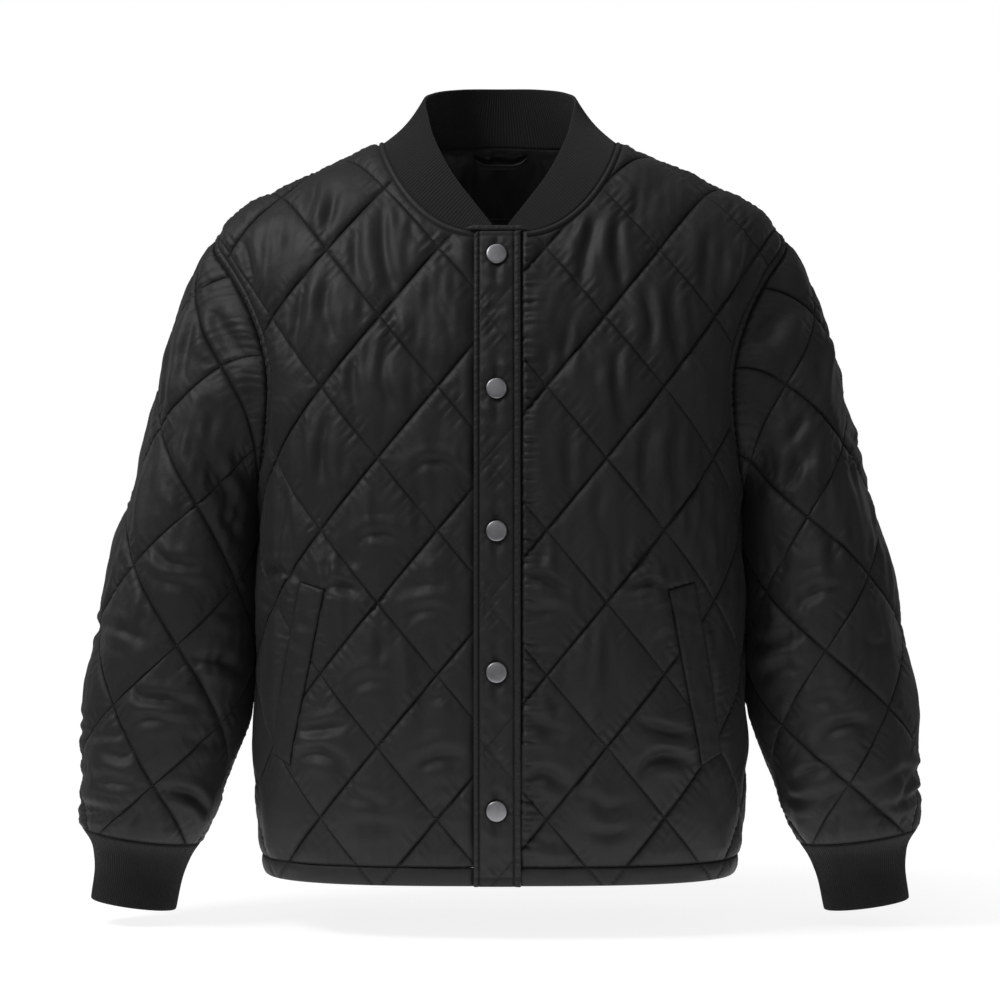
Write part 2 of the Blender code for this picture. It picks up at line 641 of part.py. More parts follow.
def wall_from_rows(outer, inner, closed):
    """A wall between rows of outer points and coarser rows of inner points."""
    points, faces = [], []
    numbered = []
    for rows in (outer, inner):
        side = []
        for row in rows:
            side.append(list(range(len(points), len(points) + len(row))))
            points += list(row)
        numbered.append(side)
        for low, high in zip(side, side[1:]):
            faces += bridge(low, high, closed)
    front, back = numbered
    faces += bridge(front[0], back[0], closed) + bridge(front[-1], back[-1], closed)
    if not closed:
        for end in (0, -1):
            faces += bridge([row[end] for row in front], [row[end] for row in back], False)
    return points, faces


def quilted_wall(surface, outline, quilt, raise_by, edge_rule, own_seam=None, **shapes):
    """Lay a quilted piece on its form; gives its points and faces, and its two cuts.

    own_seam tells which edge points are sewn to the piece's other side, with no rim there.
    """
    flat, faces, loop, (inner_flat, inner_faces) = cut_quilted(outline, quilt, **shapes)
    lift = raise_by(flat)
    base, away = surface.at(flat), surface.facing(flat)
    inner_base, inner_away = surface.at(inner_flat), surface.facing(inner_flat)
    on_rim = np.zeros(len(flat), bool)
    on_rim[loop] = True
    base[loop], away[loop] = edge_rule(flat[loop], base[loop], away[loop])
    lift[on_rim] = np.minimum(lift[on_rim], 0.0)
    outer = base + away * lift[:, None]
    inner = inner_base - inner_away * WALL
    inner_loop = rim_loop(inner_faces)
    match = {tuple(np.round(p, 6)): i for p, i in zip(flat[loop], loop)}
    partner = [match[tuple(np.round(inner_flat[i], 6))] for i in inner_loop]
    inner[inner_loop] = base[partner] - away[partner] * WALL
    count = len(outer)
    every = [tuple(face) for face in faces] + [tuple(face[::-1] + count) for face in inner_faces]
    sewn = own_seam(flat) if own_seam else np.zeros(len(flat), bool)
    for i in range(len(inner_loop)):
        k = (i + 1) % len(inner_loop)
        if not (sewn[partner[i]] and sewn[partner[k]]):
            every.append((partner[i], partner[k], inner_loop[k] + count, inner_loop[i] + count))
    cuts = (flat, faces, outer, away), (inner_flat, inner_faces, inner, -inner_away)
    return np.concatenate((outer, inner)), every, cuts


def laid_on(cut_piece, shape, lift, wall):
    """A flat trim made from the triangles of the piece that it lies on, moved out."""
    flat, faces, outer, away = cut_piece
    chosen = faces[inside(np.array(shape), flat[faces].mean(axis=1))]
    used, local = np.unique(chosen, return_inverse=True)
    local = local.reshape(-1, 3)
    low = outer[used] + away[used] * lift
    high = low + away[used] * wall
    count = len(used)
    loop = rim_loop(local)
    every = [tuple(face + count) for face in local] + [tuple(face[::-1]) for face in local]
    for i, k in zip(loop, loop[1:] + loop[:1]):
        every.append((i, k, k + count, i + count))
    return np.concatenate((low, high)), every


# ================================================================ the body's pieces
def neck_plan(angle, front):
    """The neck seam seen from above: angle 0 is the middle, 90 degrees the shoulder."""
    deep, bend = (-NECK_FRONT, NECK_FRONT_ROUND) if front else (NECK_BACK, NECK_BACK_ROUND)
    return np.stack((NECK_HALF * power(np.sin(angle), 2 / bend),
                     deep * np.abs(np.cos(angle)) ** (2 / bend)), axis=1)


def neck_flat(surface, front, start_x):
    """Cloth coordinates of half a neck seam, from an x near the middle to the shoulder."""
    plan = neck_plan(np.linspace(-0.35, pi / 2, 160), front)
    plan = plan[(plan[:, 0] >= start_x - 1e-9)]
    plan[-1, 1] = -GAP / 2 if front else GAP / 2
    guess = np.stack((plan[:, 0], np.full(len(plan), 0.22 if front else 0.27)), axis=1)
    return surface.locate(plan, (0, 1), guess)


def half_outline(surface, side, ring_flat, start_x):
    """Half a body piece: neck, shoulder, armhole, side seam and hem, ending at start_x."""
    front = side == "front"
    seam_y = -GAP / 2 if front else GAP / 2
    neck = neck_flat(surface, front, start_x)
    line_x = surface.at(surface.shoulder)[:, 0]
    x = np.linspace(NECK_HALF, SHOULDER_TIP, SHOULDER_POINTS + 1)
    shoulder = resample(surface.shoulder, line_x, x) - (0.0, GAP / 2)
    chest = CHEST[side]
    z = np.linspace(ARM_FOOT, HEM_LINE + GAP / 2, SIDE_POINTS + 1)
    guess = np.stack((np.full(len(z), 0.29), z - chest), axis=1)
    seam = surface.locate(np.stack((np.full(len(z), seam_y), z), axis=1), (1, 2), guess)
    hem = spaced(seam[-1], (start_x, seam[-1, 1]))
    parts = (thin_out(neck, NECK_STEP), shoulder[:-1], ring_flat[:-1], seam[:-1], hem)
    return np.concatenate(parts), neck[0]


def body_edge(flat, base, away):
    """Walls at seams: straight across at side and shoulder, in the hoop's plane at the armhole."""
    base, away = base.copy(), away.copy()
    at_arm = np.abs(base[:, 0]) > ARM_INNERMOST
    at_arm &= (base[:, 2] > ARM_FOOT - 2 * SAME_EDGE) & (base[:, 2] < ARM_TOP + SAME_EDGE)
    at_seam = (np.abs(base[:, 1]) < 2 * SAME_EDGE) & ~at_arm
    away[at_seam, 1] = 0.0
    mirror = np.ones_like(base)
    mirror[base[:, 0] < 0, 0] = -1.0
    base[at_arm] -= (mirror * unit(ARM_AXIS) * ARM_GAP / 2)[at_arm]
    away[at_arm] = (mirror * rim_direction(base * mirror))[at_arm]
    return base, unit(away)


def seam_fade(outline, flat, reach=0.012):
    """0 at a piece's edge, growing to 1 inside it."""
    return np.clip(edge_distance(outline, flat) / reach, 0.0, 1.0) ** 0.5


def near_sleeve(points):
    """Share by which the sleeve that hangs against the body's side presses its wadding flat."""
    close = np.clip((CONTACT_DEEP - np.abs(points[:, 1])) / CONTACT_SOFT, 0.0, 1.0)
    level = np.clip((points[:, 2] - CONTACT_FOOT) / CONTACT_SOFT, 0.0, 1.0)
    return CONTACT_PRESS * close * level * (np.abs(points[:, 0]) > CONTACT_OUT)


def make_front(surfaces, ring_sides, name):
    """One front with its pocket welt; the right one runs on under the placket."""
    surface = surfaces["front"]
    right = name == "front_right"
    start_x = -UNDERLAP if right else LEFT_EDGE
    quilt = QUILT[name]
    half, neck_start = half_outline(surface, "front", ring_sides["front"][2], start_x)
    hem_corner = np.array((start_x, HEM_LINE + GAP / 2 - CHEST["front"]))
    outline = np.concatenate((half, spaced(hem_corner, neck_start)))[::-1]
    welt_name, xs, zs = WELTS[name]
    corners = surface.locate(np.stack((xs, zs), axis=1), (0, 2), (xs[0], zs[0] - CHEST["front"]))
    welt = np.concatenate([spaced(a, b) for a, b in zip(corners, np.roll(corners, -1, axis=0))])

    def raise_by(flat):
        lift = PUFF * wadding(flat, quilt) * seam_fade(outline, flat)
        lift *= 1 - near_sleeve(surface.at(flat))
        under_welt = inside(welt, flat) | (edge_distance(welt, flat) < SAME_EDGE)
        lift[under_welt] = 0.0
        if right:
            lift[flat[:, 0] < -PLACKET_RIGHT + FOLD_CLEAR + SAME_POINT] = -UNDERLAP_SINK
        return press(lift, flat, folds)

    folds = fold_lines(name, surface, (0.23, 0.18))
    shapes = {"closed": (welt,), "folds": list(folds)}
    if right:
        fold_across = -PLACKET_RIGHT + FOLD_CLEAR
        low, high = hem_corner[1], np.interp(fold_across, *neck_line(surface))
        ends = np.array(((fold_across, low + FOLD_CLEAR), (fold_across, high - FOLD_CLEAR)))
        shapes["folds"].append(np.concatenate((spaced(*ends), ends[1:])))
    points, faces, (outer, _) = quilted_wall(surface, outline, quilt, raise_by, body_edge, **shapes)
    add_piece(name, points, faces, "quilted_nylon", right)
    points, faces = laid_on(outer, welt, GAP, TRIM_WALL)
    add_piece(welt_name, points, faces, "plain_nylon", right)


def neck_line(surface):
    """Across and up of a half neck seam, from the middle outwards."""
    flat = neck_flat(surface, surface.turn > 0, 0.0)
    return flat[:, 0], flat[:, 1]


def make_back(surfaces, ring_sides):
    """The back in one piece, the lining that shows inside its neck, and the hanger loop."""
    surface = surfaces["back"]
    half, _ = half_outline(surface, "back", ring_sides["back"][2], 0.0)
    outline = np.concatenate((half, [(0.0, half[-1, 1])], (half * (-1, 1))[1:][::-1]))[::-1]
    quilt = QUILT["back"]
    wide = np.linspace(-LINING_HALF, LINING_HALF, 11)
    neck = np.interp(np.abs(wide), *neck_line(surface))
    top = np.stack((wide, neck - LINING_DROP), axis=1)
    foot = top[::-1] - (0.0, LINING_DEEP)
    sides = spaced(top[-1], foot[0]), spaced(foot[-1], top[0])
    lining = np.concatenate((thin_out(top), sides[0], thin_out(foot), sides[1]))

    def raise_by(flat):
        lift = PUFF * wadding(flat, quilt) * seam_fade(outline, flat)
        return lift * (1 - near_sleeve(surface.at(flat)))

    points, faces, (_, inner) = quilted_wall(surface, outline, quilt, raise_by, body_edge, backed=lining)
    add_piece("back", points, faces, "quilted_nylon")
    points, faces = laid_on(inner, lining, GAP, LINING_WALL)
    add_piece("neck_lining", points, faces, "plain_nylon")
    make_hanger_loop(surface, inner)


def on_faces(piece_cut, flat):
    """Points on a cut piece's own flat triangles at cloth coordinates, and the way out there."""
    places, faces, points, away = piece_cut
    a, b, c = (places[faces[:, corner]] for corner in range(3))
    found, out = [], []
    for spot in flat:
        across_a = np.cross(c - b, spot - b)
        across_b = np.cross(a - c, spot - c)
        across_c = np.cross(b - a, spot - a)
        shares = np.stack((across_a, across_b, across_c), axis=1) / np.cross(b - a, c - a)[:, None]
        holds_it = np.argmax(shares.min(axis=1))
        found.append(shares[holds_it] @ points[faces[holds_it]])
        out.append(shares[holds_it] @ away[faces[holds_it]])
    return np.array(found), unit(np.array(out))


def make_hanger_loop(surface, lined):
    """The hanger loop, a narrow strip that sags from the neck seam in front of the lining."""
    across = np.linspace(-LOOP_HALF, LOOP_HALF, 15)
    sag = 1 - (across / LOOP_HALF) ** 4
    top = np.interp(np.abs(across), *neck_line(surface)) - LINING_DROP - GAP - LOOP_DIP * sag
    outer, inner = [], []
    for up in (top, top - LOOP_TALL):
        base, away = on_faces(lined, np.stack((across, up), axis=1))
        lift = GAP + LINING_WALL + GAP + LOOP_HANG * sag
        inner.append(base + away * lift[:, None])
        outer.append(base + away * (lift + LOOP_WALL)[:, None])
    points, faces = wall_from_rows(outer, inner, False)
    add_piece("hanger_loop", points, faces, "plain_nylon")


def snap_places(surface):
    """Cloth coordinates of the snaps on the placket."""
    return surface.locate(np.stack((np.full(5, SNAP_ACROSS), SNAP_LEVELS), axis=1), (0, 2), (0.0, 0.0))


def make_placket(surface):
    """The snap placket, sewn to the left front and lying over the right one."""
    low_up = HEM_EDGE - CHEST["front"]
    neck = neck_flat(surface, True, -0.030)
    columns = np.linspace(PLACKET_RIGHT, PLACKET_LEFT, 7)
    top = np.interp(columns, neck[:, 0], neck[:, 1]) - GAP
    quilt = QUILT["front_left"]
    rows = [low_up + (top - low_up) * share for share in np.linspace(0.0, 1.0, PLACKET_ROWS)]
    snaps = snap_places(surface)

    def lift(flat):
        edge = np.minimum(flat[:, 0] - PLACKET_RIGHT, PLACKET_LEFT - flat[:, 0])
        away = np.linalg.norm(flat[:, None] - snaps, axis=2).min(axis=1)
        soft = np.clip(edge / 0.008, 0, 1) * np.clip((away - 2.2 * SNAP_RADIUS) / SNAP_RADIUS, 0, 1)
        return GAP + PLACKET_WALL + PLACKET_PUFF * wadding(flat, quilt) * soft

    points, faces = strip_rows(surface, columns, rows, lift, GAP)
    add_piece("placket", points, faces, "quilted_nylon")


def strip_rows(surface, columns, rows, outer_lift, inner_lift):
    """A strip whose inside lies at one height over its surface, with a plain, coarser inside."""
    outer, inner = [], []
    for number, row in enumerate(rows):
        flat = np.stack((columns, row), axis=1)
        base, away = surface.at(flat), surface.facing(flat)
        outer.append(base + away * outer_lift(flat)[:, None])
        inner.append((base + away * inner_lift)[::3])
    return wall_from_rows(outer, inner, False)


def make_hem_band(surfaces):
    """The hem band, an open ring from the left front's edge round to the underlap's."""
    rows = ((HEM_LINE - GAP / 2, 0.0), ((HEM_LINE + HEM_EDGE) / 2, HEM_SWELL), (HEM_EDGE, 0.0))
    outer, inner = [], []
    for z, swell in rows:
        points, away = [], []
        for side, start, end, count, lift in HEM_STRETCHES:
            surface = surfaces[side]
            up = z - CHEST[side]
            seam = surface.locate(((0.0, z),), (1, 2), (0.29, up))[0, 0]
            start, end = (seam * v if abs(v) > 0.5 else v for v in (start, end))
            across = np.linspace(start, end, count)
            flat = np.stack((across, np.full(count, up)), axis=1)
            out = unit(surface.facing(flat) * (1.0, 1.0, 0.0))
            points.append(surface.at(flat) + out * (swell if lift is None else lift))
            away.append(out)
        points, away = np.concatenate(points), np.concatenate(away)
        outer.append(points)
        inner.append(points - away * WALL)
    points, faces = wall_from_rows(outer, inner, False)
    add_piece("hem_band", points, faces, "quilted_nylon")


# ================================================================ sleeves, cuffs, collar
def make_sleeve(form, name):
    """One sleeve: its pattern from underarm seam to underarm seam, closed into a tube."""
    right = name == "sleeve_right"
    quilt = QUILT[name]
    place = np.linspace(1.0, -1.0, 2 * ARM_POINTS + 1)
    angle = pi * power(place, 1 / CAP_LEAN)
    head = np.stack((np.interp(angle, form.cap_angle, form.columns), np.zeros(len(place))), axis=1)
    head[:, 1] = np.interp(head[:, 0], form.columns, form.cap_height)
    foot = -form.length
    levels = (np.arange(SIDE_POINTS) + 0.5) / SIDE_POINTS
    front_seam = np.stack((form.seam_across(head[0, 1] + (foot - head[0, 1]) * levels, pi),
                           head[0, 1] + (foot - head[0, 1]) * levels), axis=1)
    back_seam = np.stack((form.seam_across(front_seam[:, 1], -pi), front_seam[:, 1]), axis=1)
    ends = form.seam_across(np.array((foot, foot)), pi)[0], form.seam_across(np.array((foot, foot)), -pi)[0]
    cuff_edge = spaced((ends[1], foot), (ends[0], foot), CUFF_STEP)
    outline = np.concatenate((head, back_seam, cuff_edge, [(ends[0], foot)], front_seam[::-1]))

    def raise_by(flat):
        around = form.angle_at(flat)
        inner_side = np.clip((np.cos(around - pi) - 0.5) / 0.3, 0.0, 1.0)
        pressed = inner_side * np.clip((flat[:, 1] - PRESSED_FROM) / PRESSED_SOFT, 0.0, 1.0)
        lift = PUFF * wadding(flat, quilt) * seam_fade(outline, flat) * (1 - pressed)
        return press(lift, flat, folds)

    def edge_rule(flat, base, away):
        base, away = base.copy(), away.copy()
        around = form.angle_at(flat)
        around = np.where(np.abs(around) > pi - SEAM_ANGLE, np.sign(around) * pi, around)
        at_top = flat[:, 1] > np.interp(flat[:, 0], form.columns, form.cap_height) - SAME_EDGE
        point, out = form.seam_point(around)
        base[at_top] = (point + unit(ARM_AXIS) * ARM_GAP / 2)[at_top]
        away[at_top] = out[at_top]
        at_foot = flat[:, 1] < foot + SAME_EDGE
        base[at_foot] = form.oval(flat[:, 1], around)[at_foot]
        away[at_foot] = level_direction(SLEEVE[0], around)[at_foot]
        at_seam = ~at_top & ~at_foot
        base[at_seam] = resample(form.underarm, form.up, flat[:, 1])[at_seam]
        away[at_seam] = level_direction(SLEEVE[3], np.full(len(flat), pi))[at_seam]
        return base, away

    def at_underarm(flat):
        return np.abs(form.angle_at(flat)) > pi - SEAM_ANGLE

    folds = fold_lines(name, form, (0.0, 0.0))
    points, faces, _ = quilted_wall(form, outline, quilt, raise_by, edge_rule, own_seam=at_underarm,
                                    folds=folds, followed=lambda flat: flat[:, 1] > HEAD_FINE)
    add_piece(name, points, faces, "quilted_nylon", right)


def level_direction(row, angle):
    """Outward in the plane of a leaning level."""
    lean = radians(row[5])
    out = np.cos(angle) / row[3]
    front = np.sin(angle) / row[4]
    return unit(np.stack((out * np.cos(lean), -front, out * np.sin(lean)), axis=1))


def cuff_rows(count, swell):
    """Rows of points round a cuff: `swell` is added outwards at each angle."""
    angle = np.arange(count) / count * 2 * pi
    rows = []
    for z, x, y, half, deep, lean in CUFF:
        lean = radians(lean)
        out = half * np.cos(angle)
        oval = np.stack((x + out * np.cos(lean), y - deep * np.sin(angle), z + out * np.sin(lean)), axis=1)
        rows.append(oval + level_direction((z, x, y, half, deep, np.degrees(lean)), angle) * swell[:, None])
    return rows


def make_cuff(name):
    """A rib cuff: ridges in its outer points over a plain inside."""
    ribs = np.tile((0.0, -RIB_RISE), CUFF_RIBS)
    outer = cuff_rows(CUFF_RIBS * 2, ribs)
    columns = CUFF_RIBS * 2 // RIB_BACKING
    inner = cuff_rows(columns, np.full(columns, -RIB_WALL))
    points, faces = wall_from_rows(outer, inner, True)
    add_piece(name, points, faces, "rib_knit", name == "cuff_right")


def make_collar(surfaces):
    """The rib collar: it stands on the neck seam and narrows to a V in front."""
    back = surfaces["back"].at(neck_flat(surfaces["back"], False, 0.0))
    front = surfaces["front"].at(neck_flat(surfaces["front"], True, COLLAR_TIP))
    seam = np.concatenate((back, front[::-1]))
    share = lengths(seam) / lengths(seam)[-1]

    edge = np.concatenate((COLLAR_EDGE[:0:-1] * (-1.0, -1.0, 1.0, 1.0), COLLAR_EDGE))

    def rows(places, swell):
        foot = resample(seam, share, np.abs(places))
        foot[places < 0, 0] *= -1.0
        free = np.stack([smooth(places, edge[:, 0], edge[:, column]) for column in (1, 2, 3)], axis=1)
        rise = unit(free - foot)
        run = unit(np.gradient((foot + free) / 2, axis=0))
        out = unit(np.cross(run, rise))
        out *= np.sign((out * ((foot + free) / 2 - (0.0, -0.01, 0.0)) * (1, 1, 0)).sum(axis=1))[:, None]
        foot = foot + rise * NECK_GAP
        made = []
        for level in (0.0, 0.5, 1.0):
            bulge = COLLAR_BULGE * np.sin(pi * level)
            made.append(foot + (free - foot) * level + out * (swell + bulge)[:, None])
        return made

    outer_places = np.linspace(-1.0, 1.0, COLLAR_RIBS * 2 + 1)
    swell = np.where(np.arange(len(outer_places)) % 2 == 0, 0.0, -RIB_RISE)
    inner_places = outer_places[::RIB_BACKING]
    inner = rows(inner_places, np.full(len(inner_places), -RIB_WALL))
    points, faces = wall_from_rows(rows(outer_places, swell), inner, False)
    add_piece("collar", points, faces, "rib_knit")


# ================================================================ snaps
def make_snaps(surface):
    """Five turned caps on the placket."""
    radius, rise = SNAP_RADIUS, SNAP_RISE
    profile = ((0.0, rise), (0.62 * radius, 0.94 * rise), (0.80 * radius, rise), (0.94 * radius, 0.72 * rise),
               (radius, 0.30 * rise), (0.97 * radius, 0.0), (0.0, 0.0))
    mesh = bpy.data.meshes.new("snap_cap")
    mesh.from_pydata([(r, 0.0, h) for r, h in profile], [(i, i + 1) for i in range(len(profile) - 1)], [])
    mesh.materials.append(material("dark_metal"))
    for number, flat in enumerate(snap_places(surface), 1):
        away = surface.facing(flat)[0]
        snap = bpy.data.objects.new(f"snap_{number}", mesh)
        bpy.data.collections["quilted_jacket"].objects.link(snap)
        snap.location = surface.at(flat)[0] + away * (GAP + PLACKET_WALL + GAP)
        snap.rotation_mode = "QUATERNION"
        snap.rotation_quaternion = Vector(away).to_track_quat("Z", "Y")
        turn = snap.modifiers.new("turn", "SCREW")
        turn.steps = turn.render_steps = 16
        turn.use_merge_vertices = True
        turn.merge_threshold = 0.00001
        turn.use_normal_calculate = True


# ================================================================ build
def build():
    """Clear the scene and make every piece."""
    for old in list(bpy.data.objects):
        bpy.data.objects.remove(old, do_unlink=True)
    collection = bpy.data.collections.new("quilted_jacket")
    bpy.context.scene.collection.children.link(collection)
    surfaces = {side: body_surface(side) for side in ("front", "back")}
    ring, place, ring_sides = armhole_ring(surfaces)
    form = Sleeve(ring, place)
    for name in ("front_left", "front_right"):
        make_front(surfaces, ring_sides, name)
    make_back(surfaces, ring_sides)
    make_placket(surfaces["front"])
    make_snaps(surfaces["front"])
    make_hem_band(surfaces)
    make_collar(surfaces)
    for side in ("left", "right"):
        make_sleeve(form, f"sleeve_{side}")
        make_cuff(f"cuff_{side}")


build()
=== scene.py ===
# %% [markdown]
# # A quilted bomber jacket
# The jacket stands filled out and empty, as if an invisible wearer had it on. Its plain
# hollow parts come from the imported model, and each step below dresses one of them: the
# quilted nylon with its stitching and creases, the knitted trims, the metal snaps.
# Every quilted piece is drawn on flat cloth first and then laid on the jacket's form,
# because a real crease or a real seam is sewn into flat cloth too.

# %% Frame and scene
import bpy
import bmesh
import json
import numpy as np
from math import pi, radians
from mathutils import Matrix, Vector, geometry, kdtree

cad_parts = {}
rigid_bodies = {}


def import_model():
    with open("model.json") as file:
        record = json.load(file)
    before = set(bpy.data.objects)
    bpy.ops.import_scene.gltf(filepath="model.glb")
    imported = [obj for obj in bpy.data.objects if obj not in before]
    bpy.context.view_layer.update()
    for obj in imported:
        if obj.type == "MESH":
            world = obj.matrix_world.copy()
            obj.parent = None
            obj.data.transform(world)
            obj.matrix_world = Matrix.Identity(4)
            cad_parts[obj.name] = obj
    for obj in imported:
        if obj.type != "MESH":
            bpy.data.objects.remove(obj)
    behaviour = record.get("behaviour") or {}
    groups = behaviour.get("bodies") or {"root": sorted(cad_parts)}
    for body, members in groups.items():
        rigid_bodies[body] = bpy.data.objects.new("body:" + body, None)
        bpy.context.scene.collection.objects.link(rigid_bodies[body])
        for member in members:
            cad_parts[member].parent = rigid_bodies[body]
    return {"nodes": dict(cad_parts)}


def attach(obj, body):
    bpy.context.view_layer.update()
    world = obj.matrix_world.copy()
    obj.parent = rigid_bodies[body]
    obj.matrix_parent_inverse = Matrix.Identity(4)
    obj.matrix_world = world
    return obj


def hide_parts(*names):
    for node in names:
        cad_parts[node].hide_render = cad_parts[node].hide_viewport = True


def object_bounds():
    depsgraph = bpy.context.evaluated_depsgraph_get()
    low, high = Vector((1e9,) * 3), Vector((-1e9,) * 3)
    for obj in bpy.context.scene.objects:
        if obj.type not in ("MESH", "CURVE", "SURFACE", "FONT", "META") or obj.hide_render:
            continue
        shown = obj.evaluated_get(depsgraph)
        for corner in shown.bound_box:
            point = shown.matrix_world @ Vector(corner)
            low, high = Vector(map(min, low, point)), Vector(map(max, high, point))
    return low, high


for old in list(bpy.data.objects):
    bpy.data.objects.remove(old, do_unlink=True)
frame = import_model()
model_box = [list(corner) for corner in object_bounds()]
print("solid pieces:", ", ".join(sorted(frame["nodes"])))

# %% [markdown]
# ## Sizes of the cut
# A pattern cutter writes sizes down before drawing anything. These are the model's own
# sizes in metres: the levels of the body, the neck, the armholes and the sewn diamonds.
# Short tables with one row to a level are easy to read and to change.

# %% Sizes of the body
WALL = 0.0028            # quilted cloth at a sewn line
GAP = 0.0003             # between any two pieces
ARM_GAP = 0.0005         # between body and sleeve round the armhole
# level z, half width, depth to the front, depth to the back
BODY = np.array([
    (-0.660, 0.2075, 0.128, 0.116),
    (-0.646, 0.2085, 0.129, 0.117),
    (-0.629, 0.2110, 0.131, 0.118),
    (-0.600, 0.2145, 0.135, 0.121),
    (-0.540, 0.2165, 0.137, 0.122),
    (-0.440, 0.2155, 0.136, 0.121),
    (-0.300, 0.2130, 0.132, 0.119),
    (-0.200, 0.2130, 0.132, 0.119),
])
BODY_ROUND = 3.0         # power of the superellipse that every level follows
# chest level below which the cloth hangs straight, and the roundness of the yoke above it
CHEST = {"front": -0.300, "back": -0.250}
YOKE_ROUND = {"front": 1.95, "back": 2.95}
YOKE_SPREAD = 0.060      # the half width grows by this much from chest to shoulder
SHOULDER_TOP = 0.062     # the shoulder line: height, fall per metre, softness at the neck
SHOULDER_FALL = 0.486
SHOULDER_SOFT = 0.050
TIP_START, TIP_DROP = 0.215, 11.0      # from here out it falls faster
NECK_HALF = 0.104        # the neck seam from above: half width, depths and their roundness
NECK_FRONT, NECK_FRONT_ROUND = 0.0995, 2.6
NECK_BACK, NECK_BACK_ROUND = 0.075, 2.2
# the armhole: its levels, its reach to the front and back, and its roundness
ARM_TOP, ARM_MID, ARM_FOOT = -0.080, -0.205, -0.300
ARM_FRONT, ARM_BACK = 0.0735, 0.070
ARM_UPPER_ROUND = {"front": 1.5, "back": 1.9}
ARM_LOWER_ROUND = 2.1
ARM_INNERMOST = 0.195    # the armhole lies farther out than this
SHOULDER_TIP = 0.2545    # x where the shoulder seam meets the armhole
HEM_LINE, HEM_EDGE, HEM_SWELL = -0.6293, -0.6455, 0.0012     # seam, lower edge, swelling
LEFT_EDGE = 0.0179       # the left front's cut edge, where the placket is sewn on
PLACKET_RIGHT = -0.0225  # the placket's free edge
PLACKET_LEFT = LEFT_EDGE - 0.0001      # drawn up close to the left front
UNDERLAP = 0.0150        # the right front runs on under the placket to here
UNDERLAP_SINK = 0.0006   # and lies this much deeper there
FOLD_CLEAR = 0.0015      # the underlap's step down lies this far outside the placket
SAME_POINT, SAME_EDGE = 0.0002, 0.002   # how near a point or an edge counts as the same
HALF_ACROSS = 0.0515     # half the width of a sewn diamond
# piece, across of one crossing, up of that crossing, half height of a diamond
QUILT = {
    "front_left": (0.0398, -0.2880, 0.0618),
    "front_right": (0.0539, -0.2880, 0.0618),
    "back": (0.0, -0.3380, 0.0618),
    "sleeve_left": (0.0065, -0.1370, 0.0590),
    "sleeve_right": (0.0080, -0.1320, 0.0620),
}
print("body levels:", len(BODY), " diamond:", 2 * HALF_ACROSS, "m across")

# %% Sizes of the sleeves
# middle z, middle x, middle y, half across, half deep, lean of the level in degrees
SLEEVE = np.array([
    (-0.613, 0.3200, -0.0200, 0.0530, 0.0540, 8.0),
    (-0.590, 0.3143, -0.0180, 0.0578, 0.0620, 9.0),
    (-0.560, 0.3102, -0.0150, 0.0637, 0.0690, 10.0),
    (-0.520, 0.3023, -0.0120, 0.0693, 0.0730, 10.0),
    (-0.480, 0.2945, -0.0090, 0.0722, 0.0750, 10.0),
    (-0.430, 0.2886, -0.0060, 0.0690, 0.0760, 10.0),
    (-0.370, 0.2818, -0.0030, 0.0634, 0.0755, 10.0),
    (-0.310, 0.2722, 0.0, 0.0550, 0.0730, 10.0),
])
CAP_LEAN = 1.6           # spreads the sleeve head's columns over the armhole
CAP_PULL = 0.95          # length of the sleeve head's tangents against its own length
PRESSED_FROM, PRESSED_SOFT = -0.230, 0.040   # the underarm is pressed flat above this height
SEAM_ANGLE = 0.05        # points this near the underarm seam, in radians, lie on it
# place along the armhole from its top to its foot, inward share of the arriving cloth
CAP_ARRIVE = np.array([(0.0, 0.55), (0.5, 0.85), (1.0, 0.30)])
ARM_AXIS = np.array((0.97, 0.0, 0.24))      # the way that the armhole faces
# where a sleeve hangs against the body's side: reach to the front and back, lowest level, least
# distance from the middle, softness of its edge, share of the wadding that it presses flat
CONTACT_DEEP, CONTACT_FOOT, CONTACT_OUT = 0.077, -0.545, 0.15
CONTACT_SOFT, CONTACT_PRESS = 0.055, 0.1
print("sleeve levels:", len(SLEEVE))

# %% [markdown]
# ## Reading tables
# Between two rows of a table the form should run on smoothly. These helpers draw a smooth
# curve through the rows, measure along a line, and give points along it.

# %% Helpers for curves
def smooth(value, knots, heights):
    """Read a table along a smooth curve through its rows (knots rise)."""
    slopes = np.gradient(heights, knots)
    value = np.clip(value, knots[0], knots[-1])
    cell = np.clip(np.searchsorted(knots, value) - 1, 0, len(knots) - 2)
    width = knots[cell + 1] - knots[cell]
    f = (value - knots[cell]) / width
    start = (2 * f**3 - 3 * f**2 + 1) * heights[cell] + (f**3 - 2 * f**2 + f) * width * slopes[cell]
    end = (3 * f**2 - 2 * f**3) * heights[cell + 1] + (f**3 - f**2) * width * slopes[cell + 1]
    return start + end


def lengths(curve):
    """Distance along a polyline at each of its points."""
    steps = np.linalg.norm(np.diff(curve, axis=0), axis=1)
    return np.concatenate(((0.0,), np.cumsum(steps)))


def resample(curve, places, at):
    """Points of a curve, given its own place values, at other place values."""
    return np.stack([np.interp(at, places, curve[:, axis]) for axis in range(curve.shape[1])], axis=1)


def power(value, exponent):
    """A signed power, for superellipses."""
    return np.sign(value) * np.abs(value) ** exponent


def unit(vectors):
    """Vectors of length one."""
    return vectors / np.linalg.norm(vectors, axis=-1, keepdims=True)


def ramp(value):
    """A share kept between 0 and 1."""
    return np.clip(value, 0.0, 1.0)


def bell(distance, width):
    """A share that is 1 at no distance and soon fades beyond the width."""
    return np.exp(-(distance / width) ** 2)


# %% [markdown]
# ## Cloth laid on a form
# A surface here is a table of points that is read by cloth coordinates: `across` runs round
# the body and `up` along it. Whatever is drawn on flat cloth, such as a seam or a crease,
# can then be laid on the body without stretching it.

